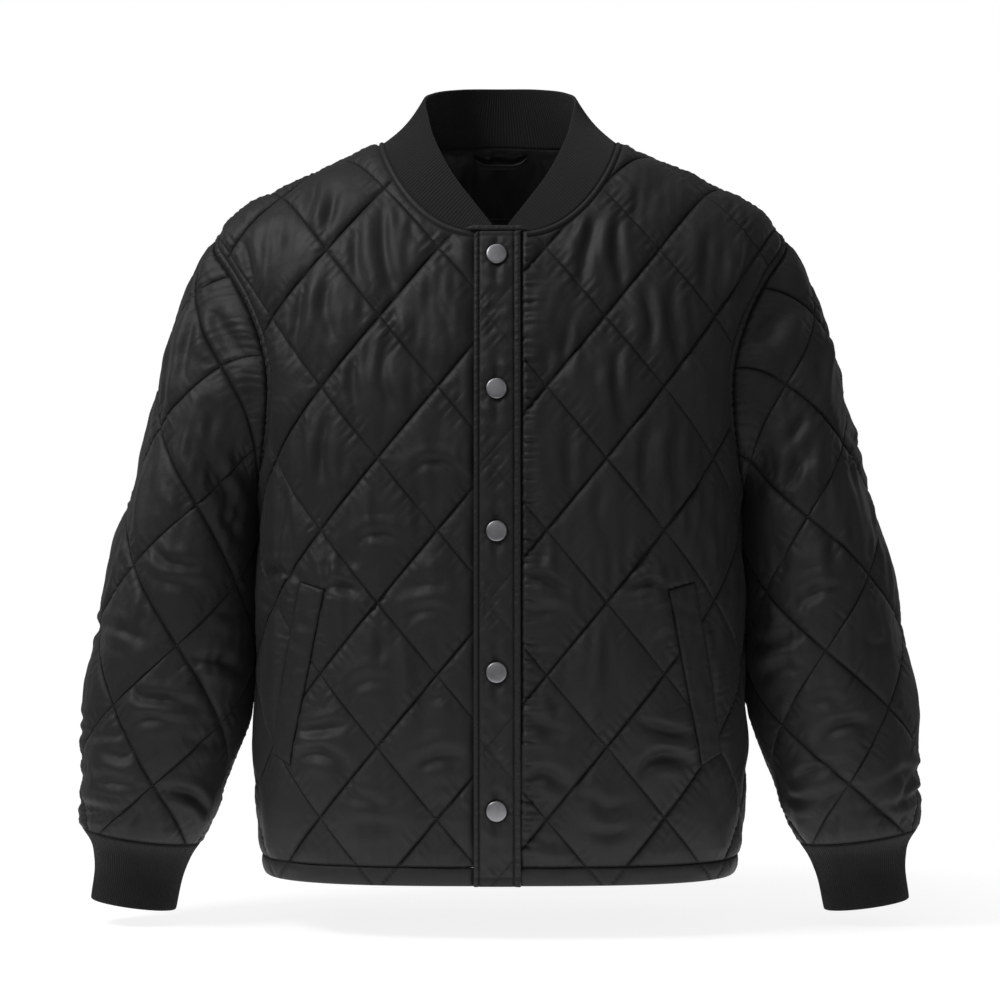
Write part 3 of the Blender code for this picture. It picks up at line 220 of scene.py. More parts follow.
# %% A surface read by cloth coordinates
class Surface:
    """A smooth surface read by cloth coordinates, kept as a regular grid of points."""

    def __init__(self, across, up, points, turn, symmetric):
        self.across, self.up, self.points = across, up, points
        self.turn, self.symmetric = turn, symmetric

    def at(self, flat):
        """Points in space of cloth coordinates (n, 2)."""
        flat = np.atleast_2d(flat)
        across = np.abs(flat[:, 0]) if self.symmetric else flat[:, 0]
        a = (across - self.across[0]) / (self.across[1] - self.across[0])
        b = (flat[:, 1] - self.up[0]) / (self.up[1] - self.up[0])
        i = np.clip(a.astype(int), 0, len(self.across) - 2)
        j = np.clip(b.astype(int), 0, len(self.up) - 2)
        a = (a - i)[:, None]
        b = (b - j)[:, None]
        grid = self.points
        low = grid[i, j] * (1 - a) + grid[i + 1, j] * a
        high = grid[i, j + 1] * (1 - a) + grid[i + 1, j + 1] * a
        found = low * (1 - b) + high * b
        if self.symmetric:
            found[:, 0] *= np.where(flat[:, 0] < 0, -1.0, 1.0)
        return found

    def facing(self, flat, reach=0.003):
        """Outward directions of the surface at cloth coordinates."""
        flat = np.atleast_2d(flat)
        side = self.at(flat + (reach, 0.0)) - self.at(flat - (reach, 0.0))
        rise = self.at(flat + (0.0, reach)) - self.at(flat - (0.0, reach))
        return unit(np.cross(side, rise)) * self.turn

    def laid(self, flat):
        """Points of the surface and their outward directions."""
        return self.at(flat), self.facing(flat)

    def locate(self, wanted, axes, guess):
        """Cloth coordinates of points that are known by two of their three coordinates."""
        wanted = np.atleast_2d(wanted)
        flat = np.array(np.broadcast_to(guess, wanted.shape), float)
        step, rounds = 0.0005, 25
        for _ in range(rounds):
            here = self.at(flat)[:, axes]
            side = (self.at(flat + (step, 0.0))[:, axes] - here) / step
            rise = (self.at(flat + (0.0, step))[:, axes] - here) / step
            miss = wanted - here
            area = side[:, 0] * rise[:, 1] - side[:, 1] * rise[:, 0]
            area = np.where(np.abs(area) < 1e-6, 1e-6, area)
            move_across = (miss[:, 0] * rise[:, 1] - miss[:, 1] * rise[:, 0]) / area
            move_up = (side[:, 0] * miss[:, 1] - side[:, 1] * miss[:, 0]) / area
            flat += np.clip(np.stack((move_across, move_up), axis=1), -0.02, 0.02)
        return flat

    def follow(self, wanted, axes, start):
        """Cloth coordinates along a curve, each point sought from the one before it."""
        found = [np.array(start, float)]
        for point in wanted:
            found.append(self.locate(point, axes, found[-1])[0])
        return np.array(found[1:])


# %% The body's form
GRID_STEP = 0.0015       # spacing of the points that hold a form
ARM_POINTS = 84          # points from the armhole's top to its foot
SIDE_GUESS = 0.29        # `across` near the side seam, where the search for a seam starts


def shoulder_height(x):
    """Height of the shoulder line over the body's width."""
    slope = SHOULDER_TOP - SHOULDER_FALL * np.sqrt(x**2 + SHOULDER_SOFT**2)
    return slope - TIP_DROP * np.maximum(np.abs(x) - TIP_START, 0.0) ** 2


def body_level(z, side):
    """Half width and depth of the body at a level."""
    column = 2 if side == "front" else 3
    return smooth(z, BODY[:, 0], BODY[:, 1]), smooth(z, BODY[:, 0], BODY[:, column])


def body_curve(half, deep, round_angle, level_height, front):
    """One level of the body from its middle round past the side."""
    x = half * power(np.sin(round_angle), 2 / BODY_ROUND)
    y = deep * power(np.cos(round_angle), 2 / BODY_ROUND)
    z = level_height(x)
    return np.stack((x, -y if front else y, z), axis=1)


def body_surface(side):
    """The body's front or back, from below the hem up over the shoulder line."""
    front = side == "front"
    chest = CHEST[side]
    around = np.linspace(0.0, 1.18, 500) * pi / 2
    across = np.arange(0.0, 0.336, GRID_STEP)
    curves = []
    drops = np.arange(-0.345, -0.0001, 0.0025) if front else np.arange(-0.395, -0.0001, 0.0025)
    for drop in drops:
        half, deep = body_level(chest + drop, side)
        curves.append(body_curve(half, deep, around, lambda x, z=chest + drop: np.full_like(x, z), front))
    half, deep = body_level(chest, side)
    rises = np.concatenate((np.linspace(0.0, 1.0, 161), np.linspace(1.015, 1.12, 12)))
    for rise in rises * pi / 2:
        share = abs(np.sin(rise)) ** (2 / YOKE_ROUND[side])
        shrink = power(np.cos(rise), 2 / YOKE_ROUND[side])
        curves.append(body_curve(
            half + YOKE_SPREAD * share**2, deep * shrink, around,
            lambda x, share=share: chest + (shoulder_height(x) - chest) * share, front))
    levels = np.stack([resample(curve, lengths(curve), across) for curve in curves])
    up = np.arange(drops[0] + 0.0025, 0.46, GRID_STEP)
    grid = np.empty((len(across), len(up), 3))
    ridge = np.empty(len(across))
    for column in range(len(across)):
        line = levels[:, column]
        yoke = lengths(line[len(drops):])
        ridge[column] = yoke[160]
        grid[column] = resample(line, np.concatenate((drops, yoke)), up)
    surface = Surface(across, up, grid, 1.0 if front else -1.0, True)
    surface.shoulder = np.stack((across, ridge), axis=1)
    return surface


def armhole_ring(surfaces):
    """The armhole as a closed curve: place -1 to 0 to 1 is foot, back, top, front, foot."""
    angle = np.linspace(0.0, pi, 121)
    reach = np.where(angle < pi / 2, ARM_TOP - ARM_MID, ARM_MID - ARM_FOOT)
    sides = {}
    for side, deep in (("front", -ARM_FRONT), ("back", ARM_BACK)):
        bend = np.where(angle < pi / 2, ARM_UPPER_ROUND[side], ARM_LOWER_ROUND)
        z = ARM_MID + reach * power(np.cos(angle), 2 / bend)
        y = deep * np.sin(angle) ** (2 / bend)
        wanted = np.stack((y, z), axis=1)[::-1]
        flat = surfaces[side].follow(wanted, (1, 2), (SIDE_GUESS, ARM_FOOT - CHEST[side]))[::-1]
        curve = surfaces[side].at(flat)
        place = lengths(curve) / lengths(curve)[-1]
        even = resample(flat, place, np.linspace(0.0, 1.0, ARM_POINTS + 1))
        sides[side] = (curve, place, even)
    curve = np.concatenate((sides["back"][0][:0:-1], sides["front"][0]))
    place = np.concatenate((-sides["back"][1][:0:-1], sides["front"][1]))
    return curve, place, sides


surfaces = {side: body_surface(side) for side in ("front", "back")}
ring, ring_place, ring_sides = armhole_ring(surfaces)
print("armhole:", round(float(lengths(ring)[-1]), 3), "m round")

# %% The sleeve's form
def rim_direction(point):
    """Outward at the armhole, in the hoop's own plane."""
    spoke = point - np.array((0.225, 0.0, ARM_MID))
    axis = unit(ARM_AXIS)
    return unit(spoke - np.outer(spoke @ axis, axis))


def level_of(table, z):
    """Middle x and y, half across, half deep and lean at a height of a sleeve's or cuff's table."""
    return [smooth(z, table[:, 0], table[:, column]) for column in range(1, 6)]


def leaning_oval(z, level, angle):
    """Points of leaning ovals; angle 0 is the outer side, 90 degrees the front."""
    x, y, half, deep, lean = level
    out = half * np.cos(angle)
    lean = np.radians(lean)
    return np.stack((x + out * np.cos(lean), y - deep * np.sin(angle), z + out * np.sin(lean)), axis=1)


class Sleeve(Surface):
    """The left sleeve's form: `across` 0 is its front middle, `up` 0 is the upper arm."""

    def __init__(self, ring, ring_place):
        self.ring, self.ring_place = ring, ring_place
        middle = SLEEVE[:, (1, 2, 0)]
        self.down = np.linspace(SLEEVE[0, 0], SLEEVE[-1, 0], 200)
        track = np.stack([smooth(self.down, SLEEVE[:, 0], middle[:, axis]) for axis in range(3)], axis=1)
        self.length = lengths(track)[-1]
        self.along = lengths(track) - self.length
        across = np.arange(-0.400, 0.1601, GRID_STEP)
        levels = np.append(np.arange(-self.length - 0.010, -0.001, 0.002), 0.0)
        turn = np.linspace(-1.25 * pi, 1.25 * pi, 600)
        points, angles = [], []
        for up in levels:
            curve = self.oval(np.full(600, up), turn)
            start = np.interp(pi / 2, turn, lengths(curve))
            angles.append(np.interp(across, lengths(curve) - start, turn))
            points.append(resample(curve, turn, angles[-1]))
        self.angle_grid = np.array(angles)
        self.levels, self.columns = levels, across
        tube = np.stack(points, axis=1)
        self.cap_angle = angles[-1]
        heads = [self.head(tube[i, -1], unit(tube[i, -1] - tube[i, -7]), self.cap_angle[i])
                 for i in range(len(across))]
        self.cap_height = np.array([lengths(head)[-1] for head in heads])
        up = np.arange(levels[0], 0.300, GRID_STEP)
        grid = np.empty((len(across), len(up), 3))
        for i, head in enumerate(heads):
            grid[i] = self.column(levels, tube[i], head, up)
        super().__init__(across, up, grid, -1.0, False)
        foot = self.oval(levels, np.full(len(levels), pi))
        head = self.head(foot[-1], unit(foot[-1] - foot[-7]), pi)
        self.underarm = self.column(levels, foot, head, up)

    def column(self, levels, tube, head, up):
        """A whole column of the sleeve at even heights, run on straight past the armhole."""
        line = np.concatenate((tube, head[1:]))
        places = np.concatenate((levels, lengths(head)[1:]))
        past = np.maximum(up - places[-1], 0.0)[:, None]
        return resample(line, places, up) + past * unit(line[-1] - line[-2])

    def oval(self, up, angle):
        """Points round the sleeve at heights up its cloth."""
        z = np.interp(up, self.along, self.down)
        return leaning_oval(z + np.minimum(up + self.length, 0.0), level_of(SLEEVE, z), angle)

    def place_on_ring(self, angle):
        """Where a column of the sleeve head meets the armhole, from -1 to 1."""
        angle = (angle + pi) % (2 * pi) - pi
        return power(angle / pi, CAP_LEAN)

    def seam_point(self, angle):
        """The armhole's point and its outward direction at a column of the sleeve."""
        point = resample(self.ring, self.ring_place, self.place_on_ring(np.atleast_1d(angle)))
        return point, rim_direction(point)

    def head(self, start, leaving, angle):
        """One column of the sleeve head, from the upper arm to the armhole."""
        end = self.seam_point(angle)[0][0]
        inward = smooth(abs(self.place_on_ring(angle)), CAP_ARRIVE[:, 0], CAP_ARRIVE[:, 1])
        arriving = np.array((-inward, 0.0, (1 - inward**2) ** 0.5))
        pull = CAP_PULL * np.linalg.norm(end - start)
        f = np.linspace(0.0, 1.0, 41)[:, None]
        return ((2 * f**3 - 3 * f**2 + 1) * start + (f**3 - 2 * f**2 + f) * pull * leaving
                + (3 * f**2 - 2 * f**3) * end + (f**3 - f**2) * pull * arriving)

    def angle_at(self, flat):
        """The angle round the sleeve at cloth coordinates."""
        level = np.clip(np.searchsorted(self.levels, flat[:, 1]) - 1, 0, len(self.levels) - 1)
        place = (flat[:, 0] - self.columns[0]) / (self.columns[1] - self.columns[0])
        column = np.clip(place.astype(int), 0, len(self.columns) - 2)
        part = place - column
        return self.angle_grid[level, column] * (1 - part) + self.angle_grid[level, column + 1] * part

    def seam_across(self, up, angle):
        """`across` of the underarm seam at the given heights, on either side of the pattern."""
        level = np.clip(np.searchsorted(self.levels, up), 0, len(self.levels) - 1)
        return np.array([np.interp(angle, self.angle_grid[i], self.columns) for i in level])


sleeve_form = Sleeve(ring, ring_place)
print("sleeve length to the armhole's foot:", round(float(sleeve_form.length), 3), "m")

# %% [markdown]
# ## Flat patterns
# A piece of quilted cloth is a flat outline filled with small triangles. Their rows follow
# the sewn diamonds, so each stitch line is one crisp row of points. Blender's
# Delaunay triangulation does the cutting. The real jacket is cut in the same way, flat.

# %% Sizes of the fine cut
CELL_PARTS = 36          # triangles along one side of a diamond
BESIDE = (0.007, 0.018, 0.036)     # extra rows beside each sewn line, as shares of a diamond
LINING_PARTS = 9         # the same on the plain inside
EDGE_STEP = 0.0030       # spacing of points along a cut edge
CLEAR_EDGE = 0.0016      # the other points keep this far from it


# %% Helpers for outlines
def spaced(start, end, step=EDGE_STEP):
    """Even points of a straight edge, without its end."""
    start, end = np.array(start, float), np.array(end, float)
    count = max(1, round(np.linalg.norm(end - start) / step))
    return start + (end - start) * np.arange(count)[:, None] / count


def thin_out(curve, step=EDGE_STEP):
    """Even points of a curved edge, without its end."""
    total = lengths(curve)
    count = max(1, round(total[-1] / step))
    return resample(curve, total, np.arange(count) / count * total[-1])


def inside(outline, points):
    """Which points lie inside a closed outline."""
    x0, y0 = outline[:, 0], outline[:, 1]
    x1, y1 = np.roll(x0, -1), np.roll(y0, -1)
    height = np.where(y1 == y0, 1.0, y1 - y0)
    found = np.empty(len(points), bool)
    for first in range(0, len(points), 8000):
        x, y = points[first:first + 8000, 0, None], points[first:first + 8000, 1, None]
        crosses = ((y0 > y) != (y1 > y)) & (x < (x1 - x0) * (y - y0) / height + x0)
        found[first:first + 8000] = crosses.sum(axis=1) % 2 == 1
    return found


# %% Lines on flat cloth
class Line:
    """A line drawn on flat cloth, which tells how far points lie from it and where along it."""

    def __init__(self, points, closed=False, step=0.0005):
        points = np.concatenate((points, points[:1])) if closed else np.asarray(points, float)
        total = lengths(points)
        self.along = np.arange(0.0, total[-1] + step / 2, step)
        self.points = resample(points, total, self.along)
        self.tree = kdtree.KDTree(len(self.points))
        for number, (x, y) in enumerate(self.points):
            self.tree.insert((x, y, 0.0), number)
        self.tree.balance()

    def near(self, flat):
        """Distance of points from the line, and the place along it that is nearest."""
        found = [self.tree.find((x, y, 0.0)) for x, y in flat]
        return np.array([f[2] for f in found]), self.along[[f[1] for f in found]]


def middle_crossing(quilt, outline):
    """Half a diamond's size, a piece's lowest and highest corners, and its middle crossing."""
    start, cell = np.array(quilt[:2]), np.array((HALF_ACROSS, quilt[2]))
    low, high = outline.min(axis=0), outline.max(axis=0)
    return cell, low, high, start + np.round(((low + high) / 2 - start) / (2 * cell)) * 2 * cell


def lattice(quilt, outline, parts, beside=()):
    """Points all over a piece, in rows along its sewn lines, closer together beside them."""
    cell, low, high, base = middle_crossing(quilt, outline)
    reach = int(np.ceil(((high - low) / cell).sum() / 4)) + 1
    beside = np.array((0.0, *beside))
    rows = np.concatenate((beside, np.linspace(beside[-1], 1 - beside[-1], parts)[1:-1], 1 - beside[:0:-1]))
    if len(beside) == 1:
        rows = np.arange(parts) / parts
    places = (np.arange(-reach, reach + 1)[:, None] + rows).ravel()
    i, j = (side.ravel() for side in np.meshgrid(places, places, indexing="ij"))
    points = base + np.stack(((i + j) * cell[0], (i - j) * cell[1]), axis=1)
    points = points[((points > low) & (points < high)).all(axis=1)]
    return points[inside(outline, points)]


def cut(outline, loose, closed=()):
    """Cut a flat piece into triangles along its outline and closed shapes."""
    points = [Vector(p) for p in outline]
    edges = [(i, (i + 1) % len(outline)) for i in range(len(outline))]
    for shape in closed:
        first = len(points)
        points += [Vector(p) for p in shape]
        edges += [(first + i, first + (i + 1) % len(shape)) for i in range(len(shape))]
    points += [Vector(p) for p in loose]
    flat, _, faces, *_ = geometry.delaunay_2d_cdt(points, edges, [], 0, 1e-6)
    flat = np.array([tuple(p) for p in flat])
    faces = np.array([tuple(face) for face in faces])
    faces = faces[inside(outline, flat[faces].mean(axis=1))]
    a, b, c = (flat[faces[:, i]] for i in range(3))
    area = (b[:, 0] - a[:, 0]) * (c[:, 1] - a[:, 1]) - (b[:, 1] - a[:, 1]) * (c[:, 0] - a[:, 0])
    faces[area < 0] = faces[area < 0][:, ::-1]
    faces = faces[np.abs(area) > 1e-9]
    used, faces = np.unique(faces, return_inverse=True)
    return flat[used], faces.reshape(-1, 3)


def rim_loop(faces):
    """The vertices round the edge of a triangulated piece, in order."""
    edges = {(int(f[i]), int(f[(i + 1) % 3])) for f in faces for i in range(3)}
    following = {a: b for a, b in edges if (b, a) not in edges}
    loop = [min(following)]
    for _ in range(len(following) - 1):
        loop.append(following[loop[-1]])
    if following[loop[-1]] != loop[0]:
        raise ValueError("a cut piece has more than one edge")
    return loop


def rows_beside(line, distances, outline, step=0.0027):
    """Rows of points beside an edge, so that a narrow sewn band keeps its shape."""
    total = lengths(line)
    even = resample(line, total, np.arange(0.0, total[-1], step))
    run = unit(np.gradient(even, axis=0))
    normal = np.stack((-run[:, 1], run[:, 0]), axis=1)
    if inside(outline, even + normal * 0.004).mean() < 0.5:
        normal = -normal
    whole = Line(outline, closed=True)
    made = []
    for distance in distances:
        row = even + normal * distance
        kept = inside(outline, row) & (whole.near(row)[0] > distance - 0.0003)
        made.append(row[kept])
    return np.concatenate(made)

# %% [markdown]
# ## How quilted cloth rises and sinks
# Wadding lifts the cloth between two sewn lines, and the thread pulls it down again. Close
# to a stitch line the cloth gathers into short puckers, and where two lines cross
# they spread like a star. Seams gather it harder. Over all that lie the creases of wear:
# they are drawn below, one line to a crease, because no two are alike.
# Heights are worked out as numbers on flat cloth, and moved out along the form at the end.

# %% Wadding, puckers and stars
def wadding(flat, quilt):
    """Share of the full puff at cloth coordinates: 0 on the sewn lines, 1 between them."""
    start_across, start_up, half_up = quilt
    a = (flat[:, 0] - start_across) / HALF_ACROSS
    b = (flat[:, 1] - start_up) / half_up
    return np.abs(np.sin(pi * (a + b) / 2) * np.sin(pi * (a - b) / 2)) ** 0.6


def ripples(flat, size, seed, stretch=(1.0, 1.0)):
    """Soft unevenness from -1 to 1 with bumps of about the given size."""
    chance = np.random.default_rng(seed)
    height = np.zeros(len(flat))
    for turn in chance.uniform(0.0, 2 * pi, 14):
        wave = np.array((np.cos(turn) / stretch[0], np.sin(turn) / stretch[1])) / size
        height += np.sin(2 * pi * chance.uniform(0.7, 1.4) * (flat @ wave) + chance.uniform(0.0, 2 * pi))
    return height / 14 ** 0.5 / 1.6


def gathers(along, pitch, seed):
    """Uneven waves along a line of stitches, from -1 to 1."""
    chance = np.random.default_rng(seed)
    height = np.zeros(len(along))
    for share in (0.62, 0.85, 1.0, 1.35):
        height += np.sin(2 * pi * along / (pitch * share) + chance.uniform(0.0, 2 * pi))
    return height / 4 * 1.4


def sewn_distance(flat, quilt):
    """Distance from the nearest line of each slant, place along it, and the lines' numbers."""
    a = (flat[:, 0] - quilt[0]) / HALF_ACROSS
    b = (flat[:, 1] - quilt[1]) / quilt[2]
    side = (HALF_ACROSS**2 + quilt[2]**2) ** 0.5
    apart = 2 * HALF_ACROSS * quilt[2] / side
    made = []
    for one, other in (((a + b) / 2, (a - b) / 2), ((a - b) / 2, (a + b) / 2)):
        number = np.round(one)
        made.append((np.abs(one - number) * apart, other * side, number))
    return made


# height of the puckers, their pitch along a sewn line and their reach beside it; then of the stars
PUCKER, PUCKER_PITCH, PUCKER_REACH = 0.00125, 0.0076, 0.0042
STAR, STAR_REACH = 0.00022, 0.0090


def puckers(flat, quilt, seed):
    """Short folds across every sewn line, and stars where two lines cross."""
    height = np.zeros(len(flat))
    slants = sewn_distance(flat, quilt)
    for turn, (distance, along, number) in enumerate(slants):
        wave = gathers(along + 0.37 * number, PUCKER_PITCH, seed + turn)
        calm = 0.45 + 0.55 * ripples(flat, 0.07, seed + 7 + turn)
        near = distance / PUCKER_REACH
        height += PUCKER * wave * calm * near * np.exp(1 - near)
    far = np.hypot(slants[0][0], slants[1][0])
    angle = np.arctan2(slants[0][0], slants[1][0])
    crossing = slants[0][2] * 1.7 + slants[1][2] * 2.9
    near = far / STAR_REACH
    height += STAR * np.sin(9 * angle + crossing + 40 * far) * near * np.exp(1 - near)
    return height

# %% Drawn creases
def drawn(table):
    """Creases from a table, one to a line: depth, half width, then across,up along it, in mm."""
    made = []
    for row in table.strip().splitlines():
        depth, width, *points = row.split()
        points = np.array([[float(v) / 1000 for v in point.split(",")] for point in points])
        made.append((float(depth), float(width), points))
    return made


def crease_heights(flat, creases):
    """Troughs (depth above 0) and ridges along drawn lines, soft at both ends."""
    height = np.zeros(len(flat))
    for depth, width, points in creases:
        total = lengths(points)
        count = 30
        places = np.linspace(0.0, total[-1], count)
        path = np.stack([smooth(places, total, points[:, axis]) for axis in (0, 1)], axis=1)
        depth, width = depth / 1000, width / 1000
        reach = 3.2 * width
        close = ((flat > path.min(axis=0) - reach) & (flat < path.max(axis=0) + reach)).all(axis=1)
        close = np.flatnonzero(close)
        if not len(close):
            continue
        apart = flat[close][:, None] - path
        nearest = (apart**2).sum(axis=2).argmin(axis=1)
        run = unit(np.gradient(path, axis=0))[nearest]
        offset = apart[np.arange(len(close)), nearest]
        beside = (offset[:, 0] * run[:, 1] - offset[:, 1] * run[:, 0]) / width
        beyond = np.linalg.norm(offset, axis=1) / width
        ends = np.maximum(beyond**2 - beside**2, 0.0)
        share = nearest / (count - 1)
        soft = ramp(np.sin(pi * (0.06 + 0.88 * share))) ** 0.8 * np.exp(-0.5 * ends)
        trough = np.exp(-beside**2)
        banks = 0.42 * bell(beside - 2.0, 1.1) + 0.28 * bell(beside + 2.0, 1.1)
        height[close] += depth * soft * (banks - trough)
    return height


def echoed(creases, move, turn=1.0, seed=1):
    """Similar creases elsewhere: moved, mirrored and made uneven in depth and length."""
    chance = np.random.default_rng(seed)
    made = []
    for depth, width, points in creases:
        points = points * (turn, 1.0) + move + chance.normal(0.0, 0.006, 2)
        middle = points.mean(axis=0)
        points = middle + (points - middle) * chance.uniform(0.75, 1.3)
        made.append((depth * chance.uniform(0.6, 1.15), width, points))
    return made


# depth (a ridge's is below 0) and half width in mm, then across,up of the crease's points
CREASES = {
    "front_left": drawn("""
6.3 6 236,217 230,188 223,163
2.9 5 125,267 124,249 120,231
4.8 6 87,239 79,217 73,192 69,165
4.5 5 109,240 103,223 102,204 109,165
4.8 6 157,178 152,158 151,136 157,104
3.5 5 125,169 130,154 132,136 125,108
2.6 5 189,221 185,197 185,171
3.5 5 105,120 100,103 100,83 108,43
3.5 5 157,55 151,38 149,18 157,-17
2.9 5 131,55 125,32 123,6 129,-17
2.6 6 61,51 58,23 60,-12
4.5 5 19,-81 34,-81 48,-87 62,-94
2.9 6 20,-113 37,-110 53,-111
5.1 5 106,-90 118,-89 129,-86 143,-93
4.8 5.5 114,-204 128,-209 144,-214 167,-217
4.2 6 17,-206 32,-206 45,-212 59,-215
4.8 6 19,-259 26,-251 41,-249 52,-256 63,-260
5.1 6 119,-252 126,-240 141,-234 163,-240
3.2 6 62,-268 80,-271 90,-278 111,-275
-2.9 6 81,-141 83,-165 78,-184 71,-200
2.6 7 57,-141 56,-177 57,-196
-2.2 5 127,-136 134,-126 143,-118
2.4 4 36,229 38,214 35,201
2.2 4 52,232 50,219 44,209
2.4 4 66,237 62,222 57,214
-2.4 5 212,205 208,168 212,133
2.2 6 48,122 42,103 45,79
2.4 5 90,0 84,-24 89,-49
2.2 5 178,37 182,7 177,-28
-2.1 6 35,11 38,-19 35,-49
2.4 5 133,-54 124,-62 120,-77
2.1 5 24,-143 35,-147 48,-145
2.4 5 75,-296 91,-300 109,-296
2.2 5 41,-179 48,-189 45,-204
2.2 5 160,-67 155,-76 156,-84
2.6 4.5 148,-68 145,-79 145,-89
2.1 5 188,-110 193,-136 188,-160
2.2 5 30,-300 42,-307 56,-305
"""),
    "front_right": drawn("""
5.8 6 242,217 233,186 229,169
3.5 5 152,267 155,243 161,219
2.9 5 129,239 129,204 125,167
4.8 6 103,248 104,221 101,194 91,158
4.8 6 175,191 178,166 180,141 185,111
3.2 5 151,177 155,163 155,148 144,119
2.6 5 176,63 175,28 176,-15
3.5 5 147,58 154,39 154,18 147,-15
2.6 5 126,114 127,84 124,53
2.9 5 99,114 101,98 99,82 90,62
3.2 4.5 74,9 64,17 49,17 30,2
3.5 5 124,-56 116,-47 102,-44 83,-51
4.2 5 230,-84 204,-78 187,-79 175,-84
4.8 5 149,-91 142,-88 133,-90 122,-92
3.5 6 82,-119 72,-111 58,-108 46,-111
2.9 8 77,-92 61,-87 44,-87
2.9 6 128,-188 126,-177 113,-169 94,-170
2.6 5 134,-54 128,-68 119,-57
4.5 5 176,-213 160,-213 144,-209 132,-205
4.8 6 183,-244 170,-234 152,-233 139,-240 132,-251
4.5 7 74,-250 67,-240 53,-234 30,-236
3.2 6 130,-267 114,-271 99,-276 83,-266
2.2 7 126,-294 108,-290 90,-293
-2.9 6 83,-134 80,-169 76,-204
2.9 5 38,-329 34,-318 26,-313
2.4 4 66,229 59,216 55,205
2.4 4 80,238 77,221 71,212
2.1 4 49,223 44,214 42,201
2.6 4 94,252 90,237 88,224
-2.2 5 211,205 211,168 206,133
2.4 5 171,293 176,251 180,227
2.2 5 198,2 194,-24 200,-54
2.2 6 70,114 62,94 64,72
-2.1 6 109,11 113,-24 109,-54
2.1 5 54,157 46,141 44,122
2.6 4.5 154,-67 149,-77 148,-85
2.2 4 166,-68 164,-77 165,-84
2.4 5 64,-185 50,-182 35,-188
2.2 5 109,-124 101,-137 104,-155
2.4 4 230,-104 211,-109 200,-107
2.1 5 64,-283 47,-276 29,-281
"""),
    "sleeve_left": drawn("""
6.3 7 -13,168 2,152 16,136
5.2 7 -2,36 11,19 18,5
4.8 6 27,-100 21,-90 6,-84 -14,-85
4.8 6 81,-121 60,-125 44,-122 29,-117
2.2 4 30,-126 26,-122 23,-118
3.8 6 72,-154 56,-147 40,-146 27,-151
2.9 5 23,-179 8,-179 -2,-186 -13,-183
4.8 6 22,-212 10,-204 -5,-202 -22,-209
4.5 5 55,-244 35,-239 20,-237 11,-236
3.2 5 70,-262 47,-264 32,-263
3.5 5 32,-269 19,-261 5,-258
2.6 5 -14,-264 -24,-259 -140,-275
1.9 4 52,-185 46,-184 40,-183
3.8 5 -4,69 5,59 14,49
3.8 5 4,37 14,22 25,4
-3.2 6 -70,143 -40,111 -25,78
-2.6 6 -97,11 -76,-20 -71,-51
3.0 5 -5,-24 -11,-43 -5,-64
2.6 5 -2,124 7,104 8,83
2.7 5 -47,51 -100,31 -125,6
2.9 4 -162,-313 -165,-302 -1,-279
2.9 4 -15,-296 -20,-287 -19,-280
3.2 4 24,-298 24,-287 21,-277
2.4 5 -29,-134 -40,-141 -56,-141
2.6 5 43,-39 36,-53 41,-70
"""),
    "sleeve_right": drawn("""
6.3 7 -17,167 0,145 16,125
5.2 7 -1,41 20,16 42,-12
5.1 6 17,-146 29,-141 50,-140 73,-147
3.8 5 -21,-52 -11,-60 3,-62 21,-60
2.9 6 -10,-77 5,-77 24,-82
4.5 5 -25,-177 -12,-181 2,-180 30,-181
2.2 4 21,-163 28,-160 35,-161
2.9 5 -21,-209 -7,-199 8,-197
2.2 4 -172,-228 -21,-215 -13,-212
4.8 5 9,-261 28,-258 47,-261 67,-276
2.6 5 -34,-259 -20,-258 -173,-274
4.2 5 7,43 18,32 31,16 47,-11
3.8 5 29,-9 43,-22 58,-33
-3.2 6 -36,136 -33,101 -29,61
-3.2 6 -47,24 -48,-13 -41,-57
4.8 6 25,120 34,102 45,86
3.5 6 -32,173 -28,144 -24,115
2.9 5 -18,9 -5,-6 1,-27
2.6 5 3,88 10,72 10,50
2.9 5 -164,-145 -33,-129 -18,-132
2.2 5 32,-211 48,-213 61,-209
2.7 5 -40,-233 -25,-236 -12,-229
3.2 4 -139,-308 -19,-286 -145,-292
3.2 4 -3,-294 -3,-283 -5,-276
2.9 4 23,-295 26,-284 26,-275
2.6 5 38,-96 52,-100 69,-97
"""),
}
print("creases drawn by hand:", sum(len(rows) for rows in CREASES.values()))

# %% [markdown]
# ## Finishes
# A finish is a small network of nodes. Its maths reads best as plain sums, so one small
# class wraps a socket and lets `1 - mask` or `grain * 0.2` add the nodes it needs.
# The patterns run in the object's own space, so they need no unwrapping.

# %% Shader helpers
class Value:
    """A number from a node's socket, which can be used in sums."""

    def __init__(self, finish, socket):
        self.finish, self.socket = finish, socket

    def maths(self, operation, other, swapped=False):
        node = self.finish.tree.nodes.new("ShaderNodeMath")
        node.operation = operation
        for slot, part in zip(node.inputs, (other, self) if swapped else (self, other)):
            self.finish.fill(slot, part)
        return Value(self.finish, node.outputs[0])

    def __add__(self, other):
        return self.maths("ADD", other)

    def __sub__(self, other):
        return self.maths("SUBTRACT", other)

    def __rsub__(self, other):
        return self.maths("SUBTRACT", other, True)

    def __mul__(self, other):
        return self.maths("MULTIPLY", other)

    __radd__, __rmul__ = __add__, __mul__


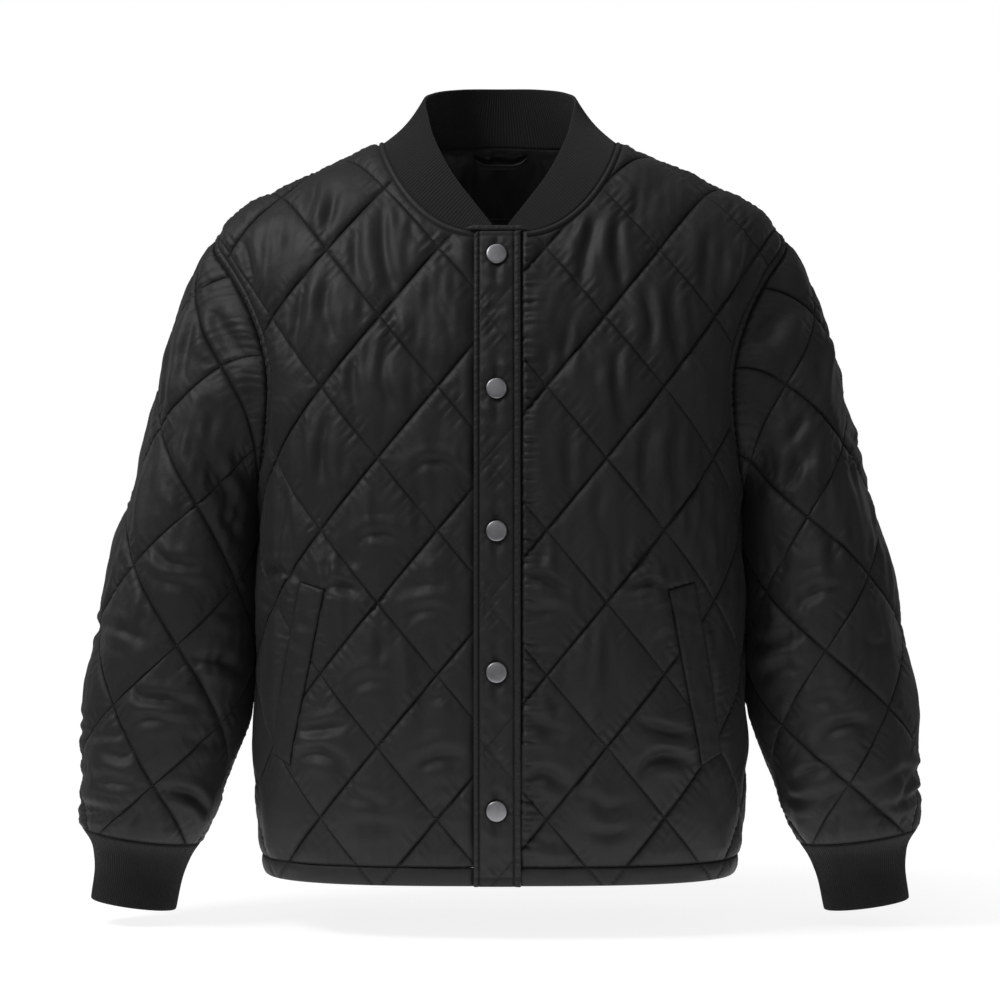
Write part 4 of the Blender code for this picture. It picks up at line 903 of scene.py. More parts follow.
class Finish:
    """A material and its nodes."""

    def __init__(self, name, **settings):
        self.material = bpy.data.materials.new(name)
        self.material.use_nodes = True
        self.tree = self.material.node_tree
        self.shader = self.tree.nodes["Principled BSDF"]
        for name, value in settings.items():
            self.shader.inputs[name.replace("_", " ")].default_value = value

    def fill(self, slot, part):
        """Give a socket its value or its link."""
        if isinstance(part, Value):
            part = part.socket
        if isinstance(part, bpy.types.NodeSocket):
            self.tree.links.new(part, slot)
        else:
            slot.default_value = part

    def node(self, kind, settings=(), sockets=(), output=0):
        """Any node: its type, its settings, and the values or links of its sockets."""
        node = self.tree.nodes.new("ShaderNode" + kind)
        for name, value in dict(settings).items():
            if name == "stops":
                for stop, (place, colour) in zip(node.color_ramp.elements, value):
                    stop.position, stop.color = place, colour
            else:
                setattr(node, name, value)
        for name, part in dict(sockets).items():
            self.fill(node.inputs[name], part)
        return node.outputs[output]

    def place(self, stretch=(1.0, 1.0, 1.0)):
        """The object's own coordinates, stretched."""
        own = self.node("TexCoord", output=3)
        return self.node("Mapping", sockets={"Vector": own, "Scale": stretch})

    def noise(self, size, detail=2.0, stretch=(1.0, 1.0, 1.0), **more):
        """Uneven grain with spots of about the given size in metres."""
        sockets = {"Vector": self.place(stretch), "Scale": 1 / size, "Detail": detail, **more}
        return Value(self, self.node("TexNoise", sockets=sockets))

    def mix(self, share, first, second):
        """A colour between two."""
        return self.node("Mix", {"data_type": "RGBA"}, {0: share, 6: first, 7: second}, 2)

    def bump(self, height, distance, strength=1.0):
        """Raise the surface by a height from 0 to 1 times the distance."""
        sockets = {"Height": height, "Distance": distance, "Strength": strength}
        self.fill(self.shader.inputs["Normal"], self.node("Bump", sockets=sockets))

    def paint(self, slot, part):
        """Feed one socket of the shader."""
        self.fill(self.shader.inputs[slot], part)
        return self


def grey(value, blue=1.04):
    """A neutral colour with a trace of blue."""
    return (value, value, value * blue, 1.0)

# %% [markdown]
# ### Satin nylon
# The shell is a black taffeta: hardly any colour, and a soft sheen that shows every fold.
# Two almost equal blacks are mixed by broad and fine grain, the fine crossed threads come
# from two sets of narrow waves, and small crumples come from uneven grain. Where
# handling has polished the cloth, it is a little smoother.

# %% Nylon
def nylon(name, dark, light, roughness, crumple):
    finish = Finish(name, Specular_IOR_Level=0.32, Sheen_Weight=0.05, Sheen_Roughness=0.45,
                    Sheen_Tint=grey(0.75))
    # the "sewn" attribute is painted shade: where it is high, the colour is painted almost black for the
    # shadow in sunk sewn lines, seams and snap rings, and the cloth is rougher there
    sewn = Value(finish, finish.node("Attribute", {"attribute_name": "sewn"}, output=2))
    broad = finish.noise(0.060, 3.0)
    fine = finish.noise(0.0014, 2.0)
    cloth = finish.mix(broad * 0.65 + fine * 0.35, grey(dark), grey(light))
    finish.paint("Base Color", finish.mix(sewn * 0.85, cloth, grey(0.001)))
    polish = finish.noise(0.035, 3.0)
    finish.paint("Roughness", roughness + (polish - 0.5) * 0.14 + (fine - 0.5) * 0.08 + sewn * 0.45)
    threads = 0.0
    for direction in ("X", "Z"):
        sockets = {"Vector": finish.place(), "Scale": 1 / (0.00045 * 2 * pi) * 2, "Distortion": 0.4}
        threads = Value(finish, finish.node("TexWave", {"bands_direction": direction}, sockets, 1)) + threads
    soft = finish.noise(0.012, 3.0, Roughness=0.45)
    small = finish.noise(0.0042, 3.0, (1.0, 1.0, 0.7), Distortion=0.6)
    finish.bump(soft * crumple + small * 0.22 + threads * 0.02, 0.0012, 0.9)
    return finish.material


quilted_nylon = nylon("quilted_nylon_finish", 0.0140, 0.0200, 0.55, 0.34)
plain_nylon = nylon("plain_nylon_finish", 0.0130, 0.0185, 0.57, 0.30)
lining_nylon = nylon("lining_finish", 0.0110, 0.0160, 0.48, 0.30)
print("nylon finishes:", quilted_nylon.name, plain_nylon.name)

# %% [markdown]
# ### Rib knit
# Knitted ribs are matt and a little hairy. The ribs themselves are modelled, so the finish
# adds only the loops: small bumps of uneven size.

# %% Knit
LOOP_SIZE = 0.0013


def rib_knit_finish(name, dark, light):
    finish = Finish(name, Specular_IOR_Level=0.25, Sheen_Weight=0.12, Sheen_Roughness=0.6,
                    Sheen_Tint=grey(0.8))
    sockets = {"Vector": finish.place((1.0, 1.0, 0.6)), "Scale": 1 / LOOP_SIZE}
    loops = Value(finish, finish.node("TexVoronoi", {"feature": "F1"}, sockets))
    fuzz = finish.noise(0.0007, 3.0)
    broad = finish.noise(0.030, 2.0)
    finish.paint("Base Color", finish.mix(fuzz * 0.5 + broad * 0.5, grey(dark), grey(light)))
    finish.paint("Roughness", 0.78 + fuzz * 0.18)
    finish.bump((1 - loops) * 0.6 + fuzz * 0.4, 0.0005, 0.8)
    return finish.material


rib_knit = rib_knit_finish("rib_knit_finish", 0.0068, 0.0118)
# the cuffs' knit is the collar's rib knit painted darker: painted shade for the cuffs, which hang low and
# catch less light
cuff_knit_painted_darker = rib_knit_finish("cuff_knit_finish", 0.0022, 0.0050)
print("knit finishes:", rib_knit.name, cuff_knit_painted_darker.name)

# %% [markdown]
# ### Thread and gunmetal
# Sewing thread is a slightly brighter black than the cloth, and twisted. The snap caps are
# gunmetal: a satin metal with fine turning marks and rubbed spots.

# %% Thread and metal
def thread_finish():
    finish = Finish("thread_finish", Specular_IOR_Level=0.5, Sheen_Weight=0.2)
    twist = finish.noise(0.0005, 2.0)
    finish.paint("Base Color", finish.mix(twist, grey(0.005), grey(0.009)))
    finish.paint("Roughness", 0.5 + twist * 0.2)
    finish.bump(twist, 0.0002, 0.6)
    return finish.material


def gunmetal_finish():
    finish = Finish("gunmetal_finish", Metallic=1.0)
    rubbed = finish.noise(0.0045, 4.0)
    fine = finish.noise(0.0003, 2.0)
    finish.paint("Base Color", finish.mix(rubbed, grey(0.27), grey(0.38)))
    finish.paint("Roughness", 0.34 + rubbed * 0.10 + fine * 0.06)
    finish.bump(fine * 0.6 + rubbed * 0.4, 0.00006, 0.6)
    return finish.material


thread, gunmetal = thread_finish(), gunmetal_finish()
print("other finishes:", thread.name, gunmetal.name)

# %% [markdown]
# ## From flat cloth to a thin shell
# Each piece becomes a closed shell: raised outer cloth, a plain inside, and a narrow rim
# that joins them. The same steps serve every quilted piece, so they are written once.

# %% Making a piece
def add_piece(name, points, faces, finish, mirror=False, painted_shade=None, weld=False):
    """Make one smooth object; a mirrored one is for the wearer's right side."""
    points = np.array(points)
    if mirror:
        points[:, 0] *= -1
    mesh = bpy.data.meshes.new(name)
    mesh.from_pydata(points.tolist(), [], [tuple(int(i) for i in face) for face in faces])
    work = bmesh.new()
    work.from_mesh(mesh)
    # painted shade: one share for each point, kept in the "sewn" attribute that darkens the finish's colour
    if painted_shade is not None:
        sunk = work.verts.layers.float.new("sewn")
        for corner, share in zip(work.verts, painted_shade):
            corner[sunk] = share
    if weld:
        bmesh.ops.remove_doubles(work, verts=work.verts, dist=0.00001)
    bmesh.ops.recalc_face_normals(work, faces=work.faces)
    if work.calc_volume(signed=True) < 0:
        bmesh.ops.reverse_faces(work, faces=work.faces)
    work.to_mesh(mesh)
    work.free()
    mesh.materials.append(finish)
    mesh.shade_smooth()
    piece = bpy.data.objects.new(name, mesh)
    bpy.context.scene.collection.objects.link(piece)
    print(f"{name}: {len(mesh.polygons)} faces")
    return piece


def area_of(outline):
    """Area inside a flat outline."""
    x, y = outline[:, 0], outline[:, 1]
    return abs(float((x * np.roll(y, -1) - y * np.roll(x, -1)).sum() / 2))


# %% Making a shell
def quilted_shell(surface, outline, quilting, raise_by, edge_rule, rows=(), closed=(), own_seam=None):
    """Lay a quilted piece on its form: gives its points, its faces and the painted shade of each point."""
    quilt = quilting.quilt
    edge = Line(outline, closed=True)

    def kept(points, clear):
        far = edge.near(points)[0] > clear
        for row, reach in rows:
            far &= row.near(points)[0] > reach
        for shape in closed:
            far &= Line(shape, closed=True).near(points)[0] > CLEAR_EDGE
        return points[far]

    loose = kept(lattice(quilt, outline, CELL_PARTS, BESIDE), CLEAR_EDGE)
    if rows:
        loose = np.concatenate([loose] + [row.band for row, _ in rows])
    flat, faces = cut(outline, loose, closed)
    loop = rim_loop(faces)
    inner_loose = lattice(quilt, outline, LINING_PARTS)
    inner_loose = inner_loose[edge.near(inner_loose)[0] > 0.004]
    inner_flat, inner_faces = cut(flat[loop], inner_loose)
    inner_loop = rim_loop(inner_faces)
    lift = raise_by(flat)
    base, away = surface.laid(flat)
    base[loop], away[loop] = edge_rule(flat[loop], base[loop], away[loop])
    lift[loop] = np.minimum(lift[loop], quilting.rim(flat[loop]))
    outer = base + away * lift[:, None]
    inner = surface.at(inner_flat) - surface.facing(inner_flat) * WALL
    match = {tuple(np.round(flat[i], 6)): i for i in loop}
    partner = [match[tuple(np.round(inner_flat[i], 6))] for i in inner_loop]
    inner[inner_loop] = base[partner] - away[partner] * WALL
    count = len(outer)
    every = faces.tolist() + (inner_faces[:, ::-1] + count).tolist()
    sewn = own_seam(flat) if own_seam else np.zeros(len(flat), bool)
    for i in range(len(inner_loop)):
        k = (i + 1) % len(inner_loop)
        if not (sewn[partner[i]] and sewn[partner[k]]):
            every.append((partner[i], partner[k], inner_loop[k] + count, inner_loop[i] + count))
    painted_shade = np.concatenate((quilting.painted_shade(flat), np.zeros(len(inner))))
    return np.concatenate((outer, inner)), every, painted_shade


def ring_shell(columns, closed=False):
    """A shell from columns of points that each run once round its wall."""
    columns = np.asarray(columns)
    number, count = columns.shape[:2]
    i, k = np.meshgrid(np.arange(number if closed else number - 1), np.arange(count), indexing="ij")
    i, k = i.ravel(), k.ravel()
    after, beside = (i + 1) % number, (k + 1) % count
    corners = (i * count + k, after * count + k, after * count + beside, i * count + beside)
    faces = np.stack(corners, axis=1).tolist()
    if not closed:
        for row in (0, number - 1):
            for k in range(count // 2 - 1):
                a, b, c, d = k, k + 1, count - 2 - k, count - 1 - k
                faces.append(tuple(row * count + v for v in (a, b, c, d)))
    return columns.reshape(-1, 3), faces

# %% [markdown]
# ## Stitches
# A lockstitch shows as short raised strokes with a tiny gap between them. Thousands of
# separate objects would be slow, so each piece's stitches are one joined mesh of
# small six-pointed strokes, laid on the finished heights.

# %% Making stitches
# a stitch's length, the step to the next one, its half width and its rise
STITCH, STITCH_STEP, STITCH_HALF, STITCH_RISE = 0.0024, 0.0031, 0.00026, 0.00028


def stitch_rows(lines, surface, raise_by, keep):
    """Points and faces of the stitches along lines on flat cloth."""
    starts, ends = [], []
    for line in lines:
        total = lengths(line)
        places = np.arange(STITCH_STEP / 2, total[-1] - STITCH, STITCH_STEP)
        if len(places):
            starts.append(resample(line, total, places))
            ends.append(resample(line, total, places + STITCH))
    starts, ends = np.concatenate(starts), np.concatenate(ends)
    good = keep(starts) & keep(ends)
    starts, ends = starts[good], ends[good]
    tips = []
    for flat in (starts, ends):
        away = surface.facing(flat)
        tips.append(surface.at(flat) + away * raise_by(flat)[:, None])
    middle, run = (tips[0] + tips[1]) / 2, unit(tips[1] - tips[0])
    side = unit(np.cross(run, away)) * STITCH_HALF
    top = away * STITCH_RISE
    points = np.stack((tips[0], middle - side + top * 0.4, middle + top, middle + side + top * 0.4,
                       middle - top, tips[1]), axis=1)
    faces = []
    shape = ((0, 2, 1), (0, 3, 2), (0, 4, 3), (0, 1, 4), (5, 1, 2), (5, 2, 3), (5, 3, 4), (5, 4, 1))
    for number in range(len(points)):
        faces += [tuple(number * 6 + v for v in face) for face in shape]
    return points.reshape(-1, 3), faces


def join(*parts):
    """One list of points and faces from several."""
    points, faces, first = [], [], 0
    for some, shapes in parts:
        points.append(some)
        faces += [tuple(v + first for v in face) for face in shapes]
        first += len(some)
    return np.concatenate(points), faces


def sewn_lines(quilt, outline):
    """The diamonds' stitch lines over a piece, as straight lines on flat cloth."""
    cell, low, high, middle = middle_crossing(quilt, outline)
    reach = int(((high - low) / cell).max()) + 2
    made = []
    for number in range(-reach, reach + 1):
        for slant in (1.0, -1.0):
            spot = middle + (2 * cell[0] * number, 0.0)
            run = cell * (1.0, slant) * reach
            made.append(np.array((spot - run, spot + run)))
    return made


# %% [markdown]
# ## The body's outlines
# The fronts and the back are cut with a neck curve, a shoulder, an armhole, a side seam and
# a hem. Their edges are seams, so their rims stand straight across the seam.

# %% Sizes of the fine outline
SHOULDER_POINTS, SIDE_POINTS = 56, 110
NECK_BAND, ARM_BAND = 0.0054, 0.0072     # widths of the topstitched bands
ARM_STITCHES = (0.0016, ARM_BAND - 0.0004)   # the armhole's two rows of stitches
CLEAR_STITCH = 0.001     # the diamonds' stitches stop this far from an edge


# %% Outlines and edges of the body
def neck_plan(angle, front):
    """The neck seam seen from above: angle 0 is the middle, 90 degrees the shoulder."""
    deep, bend = (-NECK_FRONT, NECK_FRONT_ROUND) if front else (NECK_BACK, NECK_BACK_ROUND)
    return np.stack((NECK_HALF * power(np.sin(angle), 2 / bend),
                     deep * np.abs(np.cos(angle)) ** (2 / bend)), axis=1)


def neck_flat(surface, front, start_x):
    """Cloth coordinates of half a neck seam, from an x near the middle to the shoulder."""
    plan = neck_plan(np.linspace(-0.35, pi / 2, 160), front)
    plan = plan[(plan[:, 0] >= start_x - 1e-9)]
    plan[-1, 1] = -GAP / 2 if front else GAP / 2
    guess = np.stack((plan[:, 0], np.full(len(plan), 0.22 if front else 0.27)), axis=1)
    return surface.locate(plan, (0, 1), guess)


def half_outline(side, start_x):
    """Half a body piece, from the neck round to start_x at the hem, and its neck and armhole."""
    surface = surfaces[side]
    front = side == "front"
    seam_y = -GAP / 2 if front else GAP / 2
    neck = neck_flat(surface, front, start_x)
    line_x = surface.at(surface.shoulder)[:, 0]
    x = np.linspace(NECK_HALF, SHOULDER_TIP, SHOULDER_POINTS + 1)
    shoulder = resample(surface.shoulder, line_x, x) - (0.0, GAP / 2)
    z = np.linspace(ARM_FOOT, HEM_LINE + GAP / 2, SIDE_POINTS + 1)
    guess = np.stack((np.full(len(z), SIDE_GUESS), z - CHEST[side]), axis=1)
    seam = surface.locate(np.stack((np.full(len(z), seam_y), z), axis=1), (1, 2), guess)
    hem = spaced(seam[-1], (start_x, seam[-1, 1]))
    arm = ring_sides[side][2]
    parts = (thin_out(neck), shoulder[:-1], arm[:-1], seam[:-1], hem)
    return np.concatenate(parts), neck, arm


def body_edge(flat, base, away):
    """Walls at seams: straight across at side and shoulder, in the hoop's plane at the armhole.

    Every rule for an edge is given the flat places too, which this one has no use for.
    """
    base, away = base.copy(), away.copy()
    at_arm = np.abs(base[:, 0]) > ARM_INNERMOST
    at_arm &= (base[:, 2] > ARM_FOOT - 2 * SAME_EDGE) & (base[:, 2] < ARM_TOP + SAME_EDGE)
    at_seam = (np.abs(base[:, 1]) < 2 * SAME_EDGE) & ~at_arm
    away[at_seam, 1] = 0.0
    mirror = np.ones_like(base)
    mirror[base[:, 0] < 0, 0] = -1.0
    base[at_arm] -= (mirror * unit(ARM_AXIS) * ARM_GAP / 2)[at_arm]
    away[at_arm] = (mirror * rim_direction(base * mirror))[at_arm]
    return base, unit(away)


def near_sleeve(points):
    """Share by which the sleeve that hangs against the body's side presses its wadding flat."""
    close = ramp((CONTACT_DEEP - np.abs(points[:, 1])) / CONTACT_SOFT)
    level = ramp((points[:, 2] - CONTACT_FOOT) / CONTACT_SOFT)
    level *= ramp(1 + (ARM_FOOT - points[:, 2]) / 0.03)
    return CONTACT_PRESS * close * level * (np.abs(points[:, 0]) > CONTACT_OUT)


# %% [markdown]
# ## Heights of a whole piece
# One function adds everything up for a piece: wadding, puckers, stars, creases and broad
# unevenness. It lets them fade at the seams, gathers the cloth beside each seam, and
# forms the narrow topstitched bands at neck and armhole.

# %% Heights of quilted cloth
SHOWN_PUFF = 0.0047      # how far the wadding stands out in the middle of a diamond
SEAM_GATHER, GATHER_PITCH, GATHER_REACH = 0.00160, 0.0080, 0.0085    # small folds beside seams
BROAD, CRUMPLE, LOWEST = 0.0014, 0.00048, -0.0014    # soft waves, small ones, and the deepest place
FOLDS, FOLDS_FROM = 0.0024, -0.11       # long upright folds, above this place on the cloth
BAND_RIDGE, GROOVE = 0.0016, 0.0006     # a sewn band's height, and the groove beside it
EDGE_FADE, BAND_FADE, FLAT_FADE = 0.012, 0.010, 0.007    # wadding rises over these widths
THREAD_SUNK, THREAD_REACH = 0.0004, 0.0008       # the groove of every sewn line
TIGHT_SUNK, TIGHT_REACH = 0.0011, 0.0032         # the wider one of the tighter slant


class Quilting:
    """The heights of one quilted piece at any place on its flat cloth."""

    def __init__(self, quilt, outline, seed, creases, bands=(), flats=(), calm=None):
        self.quilt, self.outline, self.seed, self.creases = quilt, outline, seed, creases
        self.edge = Line(outline, closed=True)
        self.bands = bands              # a line and the width of the sewn band beside it
        self.flats = [(shape, Line(shape, closed=True)) for shape in flats]
        self.calm = calm                # gives the share by which something presses the cloth
        self.rim = lambda flat: np.zeros(len(flat))     # how high the cut edge may stand
        self.sewn_on = False            # whether the placket is sewn to its front edge
        self.tight = 1                  # which slant of the sewn lines is drawn tighter, with a deeper groove and a wider, darker painted shade

    def clear_of_bands(self, flat):
        """Which places take the diamonds' stitches: all but the edge and the sewn bands."""
        clear = inside(self.outline, flat) & (self.edge.near(flat)[0] > CLEAR_STITCH)
        for line, width in self.bands:
            clear &= line.near(flat)[0] > width
        return clear

    def heights(self, flat):
        """How far the cloth stands out of its form at each place."""
        far, along = self.edge.near(flat)
        fade = ramp(far / EDGE_FADE) ** 0.5
        gather = np.exp(-far / GATHER_REACH) * gathers(along, GATHER_PITCH, self.seed)
        near_bands = [(line.near(flat), width) for line, width in self.bands]
        for (away, _), width in near_bands:
            fade = np.minimum(fade, ramp((away - width) / BAND_FADE) ** 0.5)
        for shape, line in self.flats:
            away, place = line.near(flat)
            away[inside(shape, flat)] = 0.0
            fade = np.minimum(fade, ramp(away / FLAT_FADE) ** 0.5)
            gather += 0.7 * np.exp(-away / GATHER_REACH) * gathers(place, GATHER_PITCH, self.seed + 5)
        puff = wadding(flat, self.quilt) ** 0.72
        inner = ramp(puff * 1.5)
        height = SHOWN_PUFF * puff * fade
        slants = sewn_distance(flat, self.quilt)
        lines = np.minimum(slants[0][0], slants[1][0])
        height -= THREAD_SUNK * bell(lines, THREAD_REACH) * fade
        tight = slants[self.tight][0]
        height -= TIGHT_SUNK * bell(tight, TIGHT_REACH) * fade
        folds = ripples(flat, 0.024, self.seed + 6, (0.6, 3.2)) * ripples(flat, 0.09, self.seed + 8)
        level = np.clip(1 + (flat[:, 1] - FOLDS_FROM) / 0.08, 0.15, 1.0)
        level *= np.clip((0.20 - flat[:, 1]) / 0.06, 0.3, 1.0)
        height += FOLDS * folds * inner * fade * level
        height += puckers(flat, self.quilt, self.seed) * fade
        height += SEAM_GATHER * gather * fade * np.clip(puff * 2.5, 0.25, 1.0)
        height += BROAD * ripples(flat, 0.055, self.seed + 1, (0.7, 1.4)) * inner * fade
        uneven = 0.6 + 0.4 * ripples(flat, 0.08, self.seed + 4)
        height += CRUMPLE * uneven * ripples(flat, 0.018, self.seed + 2, (0.8, 1.4)) * inner * fade
        height += crease_heights(flat, self.creases) * (0.22 + 0.78 * inner) * fade
        if self.calm is not None:
            height *= 1 - self.calm(flat)
        for (away, place), width in near_bands:
            share = ramp(away / width)
            wave = 1 + (0.75 if width == ARM_BAND else 0.22) * gathers(place, 0.0062, self.seed + 3)
            ridge = BAND_RIDGE * np.sin(pi * share) ** 0.7 * wave
            height = np.where(away < width, ridge, height)
            height -= GROOVE * bell(away - width, 0.0008)
        return np.maximum(height, LOWEST)

    def painted_shade(self, flat):
        """Share of painted shade at each place, for the shadow where thread and cloth lie sunk along every
        sewn line, seam and outline.
        """
        far = self.edge.near(flat)[0]
        slants = sewn_distance(flat, self.quilt)
        # painted shade along the diamonds' lines: the tighter slant gets the wider and darker share
        dark = np.maximum(bell(slants[self.tight][0], 0.0013),
                          0.8 * bell(slants[1 - self.tight][0], 0.0008))
        for _, line in self.flats:
            dark = np.maximum(dark, 0.9 * bell(line.near(flat)[0], 0.0011))
        for line, width in self.bands:
            away = line.near(flat)[0]
            dark[away < width + 0.0005] = 0.0
            dark = np.maximum(dark, 0.8 * bell(away - width, 0.0007))
            if width == ARM_BAND:
                dark = np.maximum(dark, 0.6 * bell(away - ARM_STITCHES[0], 0.0006))
        # painted shade along the cut edges too, weaker where the placket is sewn to the left front
        edge = np.where(self.sewn_on & (flat[:, 0] < LEFT_EDGE + 0.004), 0.35, 0.9)
        return np.maximum(dark, edge * bell(far, 0.0007))


# %% Sewn bands and sheets
def band_line(curve, outline, width, count):
    """A seam with the rows of points that shape the sewn band beside it."""
    line = Line(curve)
    distances = width * (np.arange(count) + 1) / count
    line.band = rows_beside(curve, np.append(distances, width + 0.0014), outline)
    return line, width + 0.0026


def declare(piece, node, cut_to, area, rests_on=(), with_pieces=()):
    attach(piece, "root")
    if node:
        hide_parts(node)
    for extra in with_pieces:
        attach(extra, "root")
    cuts.append((piece.name, [round(float(v) * 1000) for v in cut_to], round(float(area) * 1e4)))


def make_quilted(name, surface, quilting, raise_by, edge_rule, stitched, rests_on=(), mirror=False,
                 rows=(), closed=(), own_seam=None):
    """A quilted piece with its stitches; `stitched` gives lines and the rule where they show."""
    outline = quilting.outline
    points, faces, painted_shade = quilted_shell(surface, outline, quilting, raise_by, edge_rule, rows, closed,
                                         own_seam)
    piece = add_piece("dressed_" + name, points, faces, quilted_nylon, mirror, painted_shade, bool(own_seam))
    stitches = join(*[stitch_rows(lines, surface, raise_by, keep) for lines, keep in stitched])
    stitches = add_piece("stitches_" + name, *stitches, thread, mirror)
    declare(piece, name, np.ptp(outline, axis=0), area_of(outline), rests_on,
            (stitches,))


cuts = []
print("sewn bands:", NECK_BAND, "and", ARM_BAND, "m wide")

# %% [markdown]
# ## The fronts and their pocket welts
# Each front carries a slanted welt, a plain folded strip whose short ends are barred with
# two rows of stitches. The right front runs on under the placket, pressed flat there.

# %% Making a front
# z and x of a pocket welt's corners: top inner, top outer, bottom outer, bottom inner
WELT_LEVELS = (-0.3925, -0.3863, -0.5339, -0.5434)
WELTS = {
    "front_right": ("welt_right", (0.1503, 0.1717, 0.1966, 0.1812)),
    "front_left": ("welt_left", (0.1443, 0.1674, 0.1906, 0.1734)),
}
TRIM_WALL = 0.0024
WELT_BARS = (0.0022, 0.0048)     # rows of stitches from a welt's ends


def welt_grid(corners, long_share, wide_share):
    """Places on a welt from its corners: top inner, top outer, bottom outer, bottom inner."""
    top = corners[0] + (corners[1] - corners[0]) * wide_share[:, None]
    foot = corners[3] + (corners[2] - corners[3]) * wide_share[:, None]
    return top[None] + (foot - top)[None] * long_share[:, None, None]


def make_welt(name, corners, surface, mirror, seed):
    """The welt: a thin folded strip with rolled edges and barred ends."""
    long, wide = 76, 15
    length = np.linalg.norm(corners[3] - corners[0])
    width = np.linalg.norm(corners[1] - corners[0])
    grid = welt_grid(corners, np.linspace(0.0, 1.0, long), np.linspace(0.0, 1.0, wide)).reshape(-1, 2)
    share = np.repeat(np.linspace(0.0, 1.0, long), wide)
    beside = np.tile(np.linspace(0.0, 1.0, wide), long)
    from_end = np.minimum(share, 1 - share) * length
    from_side = np.minimum(beside, 1 - beside) * width

    def lift(flat, from_end, from_side):
        round_off = ramp(np.minimum(from_end, from_side) / 0.0016)
        height = TRIM_WALL * (0.55 + 0.45 * (1 - (1 - round_off) ** 2) ** 0.5)     # rolled edges
        for bar in WELT_BARS:
            height -= 0.0005 * bell(from_end - bar, 0.0007)
        edge = bell(from_side - 0.003, 0.0022)
        height += 0.0006 * gathers(flat[:, 1], 0.0066, seed) * edge
        return GAP + height + 0.0007 * ripples(flat, 0.016, seed) * round_off

    base, away = surface.laid(grid)
    outer = (base + away * lift(grid, from_end, from_side)[:, None]).reshape(long, wide, 3)
    inner = (base + away * GAP).reshape(long, wide, 3)
    points, faces = ring_shell(np.concatenate((outer, inner[:, ::-1]), axis=1))
    piece = add_piece("dressed_" + name, points, faces, plain_nylon, mirror)
    bars = [welt_grid(corners, np.array([place]), np.linspace(0.04, 0.96, 12))[0]
            for bar in WELT_BARS for place in (bar / length, 1 - bar / length)]
    top = lambda flat: np.full(len(flat), GAP + TRIM_WALL - 0.0005)
    points, faces = stitch_rows(bars, surface, top, lambda flat: np.ones(len(flat), bool))
    bar_stitches = add_piece("stitches_" + name, points, faces, thread, mirror)
    declare(piece, name, (width, length), width * length * 0.98,
            ("dressed_" + ("front_right" if mirror else "front_left"),), (bar_stitches,))


def make_front(name, seed):
    """One front, its stitches and its pocket welt."""
    surface, quilt, right = surfaces["front"], QUILT[name], name == "front_right"
    start_x = -UNDERLAP if right else LEFT_EDGE
    half, neck, arm = half_outline("front", start_x)
    corner = np.array((start_x, HEM_LINE + GAP / 2 - CHEST["front"]))
    outline = np.concatenate((half, spaced(corner, neck[0])))[::-1]
    welt_name, xs = WELTS[name]
    corners = surface.locate(np.stack((xs, WELT_LEVELS), axis=1), (0, 2),
                             (xs[0], WELT_LEVELS[0] - CHEST["front"]))
    welt = np.concatenate([spaced(a, b) for a, b in zip(corners, np.roll(corners, -1, axis=0))])
    rows = [band_line(neck, outline, NECK_BAND, 4), band_line(arm, outline, ARM_BAND, 5)]
    bands = ((rows[0][0], NECK_BAND), (rows[1][0], ARM_BAND))
    fold = -PLACKET_RIGHT + FOLD_CLEAR
    quilting = Quilting(quilt, outline, seed, CREASES[name], bands, (welt,),
                        lambda flat: near_sleeve(surface.at(flat)))

    def off_ends(flat):
        return ramp(np.minimum(neck[0, 1] - flat[:, 1], flat[:, 1] - corner[1]) / 0.012)

    quilting.tight, quilting.sewn_on = (0, False) if right else (1, True)
    if not right:
        quilting.rim = lambda flat: 0.0028 * off_ends(flat) * (flat[:, 0] < LEFT_EDGE + SAME_POINT)

    def raise_by(flat):
        height = quilting.heights(flat)
        if not right:
            beside = np.maximum(flat[:, 0] - LEFT_EDGE, 0.0)
            swell = bell(beside, 0.010) * off_ends(flat)
            height += 0.0028 * swell * (1 + 0.75 * gathers(flat[:, 1], 0.0075, seed + 9))
        if right:
            height *= ramp((flat[:, 0] - fold) / 0.006) ** 0.5
            height[flat[:, 0] < fold + SAME_POINT] = -UNDERLAP_SINK
        return height

    def sewn(flat):
        clear = quilting.clear_of_bands(flat) & ~inside(welt, flat)
        return clear & (flat[:, 0] > fold + CLEAR_STITCH) if right else clear

    edges = [rows_beside(neck, (NECK_BAND,), outline)]
    edges += [rows_beside(arm, (row,), outline) for row in ARM_STITCHES[::-1]]
    within = lambda flat: inside(outline, flat) & (flat[:, 0] > (fold + CLEAR_STITCH if right else 0.0))
    make_quilted(name, surface, quilting, raise_by, body_edge,
                 ((sewn_lines(quilt, outline), sewn), (edges, within)), ("dressed_back",), right,
                 rows, (welt,))
    make_welt(welt_name, corners, surface, right, seed + 20)


# %% The two fronts
make_front("front_left", 11)
make_front("front_right", 23)

# %% [markdown]
# ## The back
# The back is one piece from side seam to side seam. It has creases like those of the
# fronts, moved and made uneven, and inside its neck sit a plain lining and a hanger loop.

# %% Making the back
LOOP_HALF, LOOP_DIP, LOOP_TALL = 0.0260, 0.0080, 0.0055
LOOP_HANG = 0.0030
LINING_HALF, LINING_DEEP, LINING_DROP, LINING_WALL = 0.080, 0.072, 0.0035, 0.0012
LINING_COLUMNS, LINING_ROWS = 65, 40
BACK_SHIFT = -0.050      # the back's cloth coordinates start at another chest level


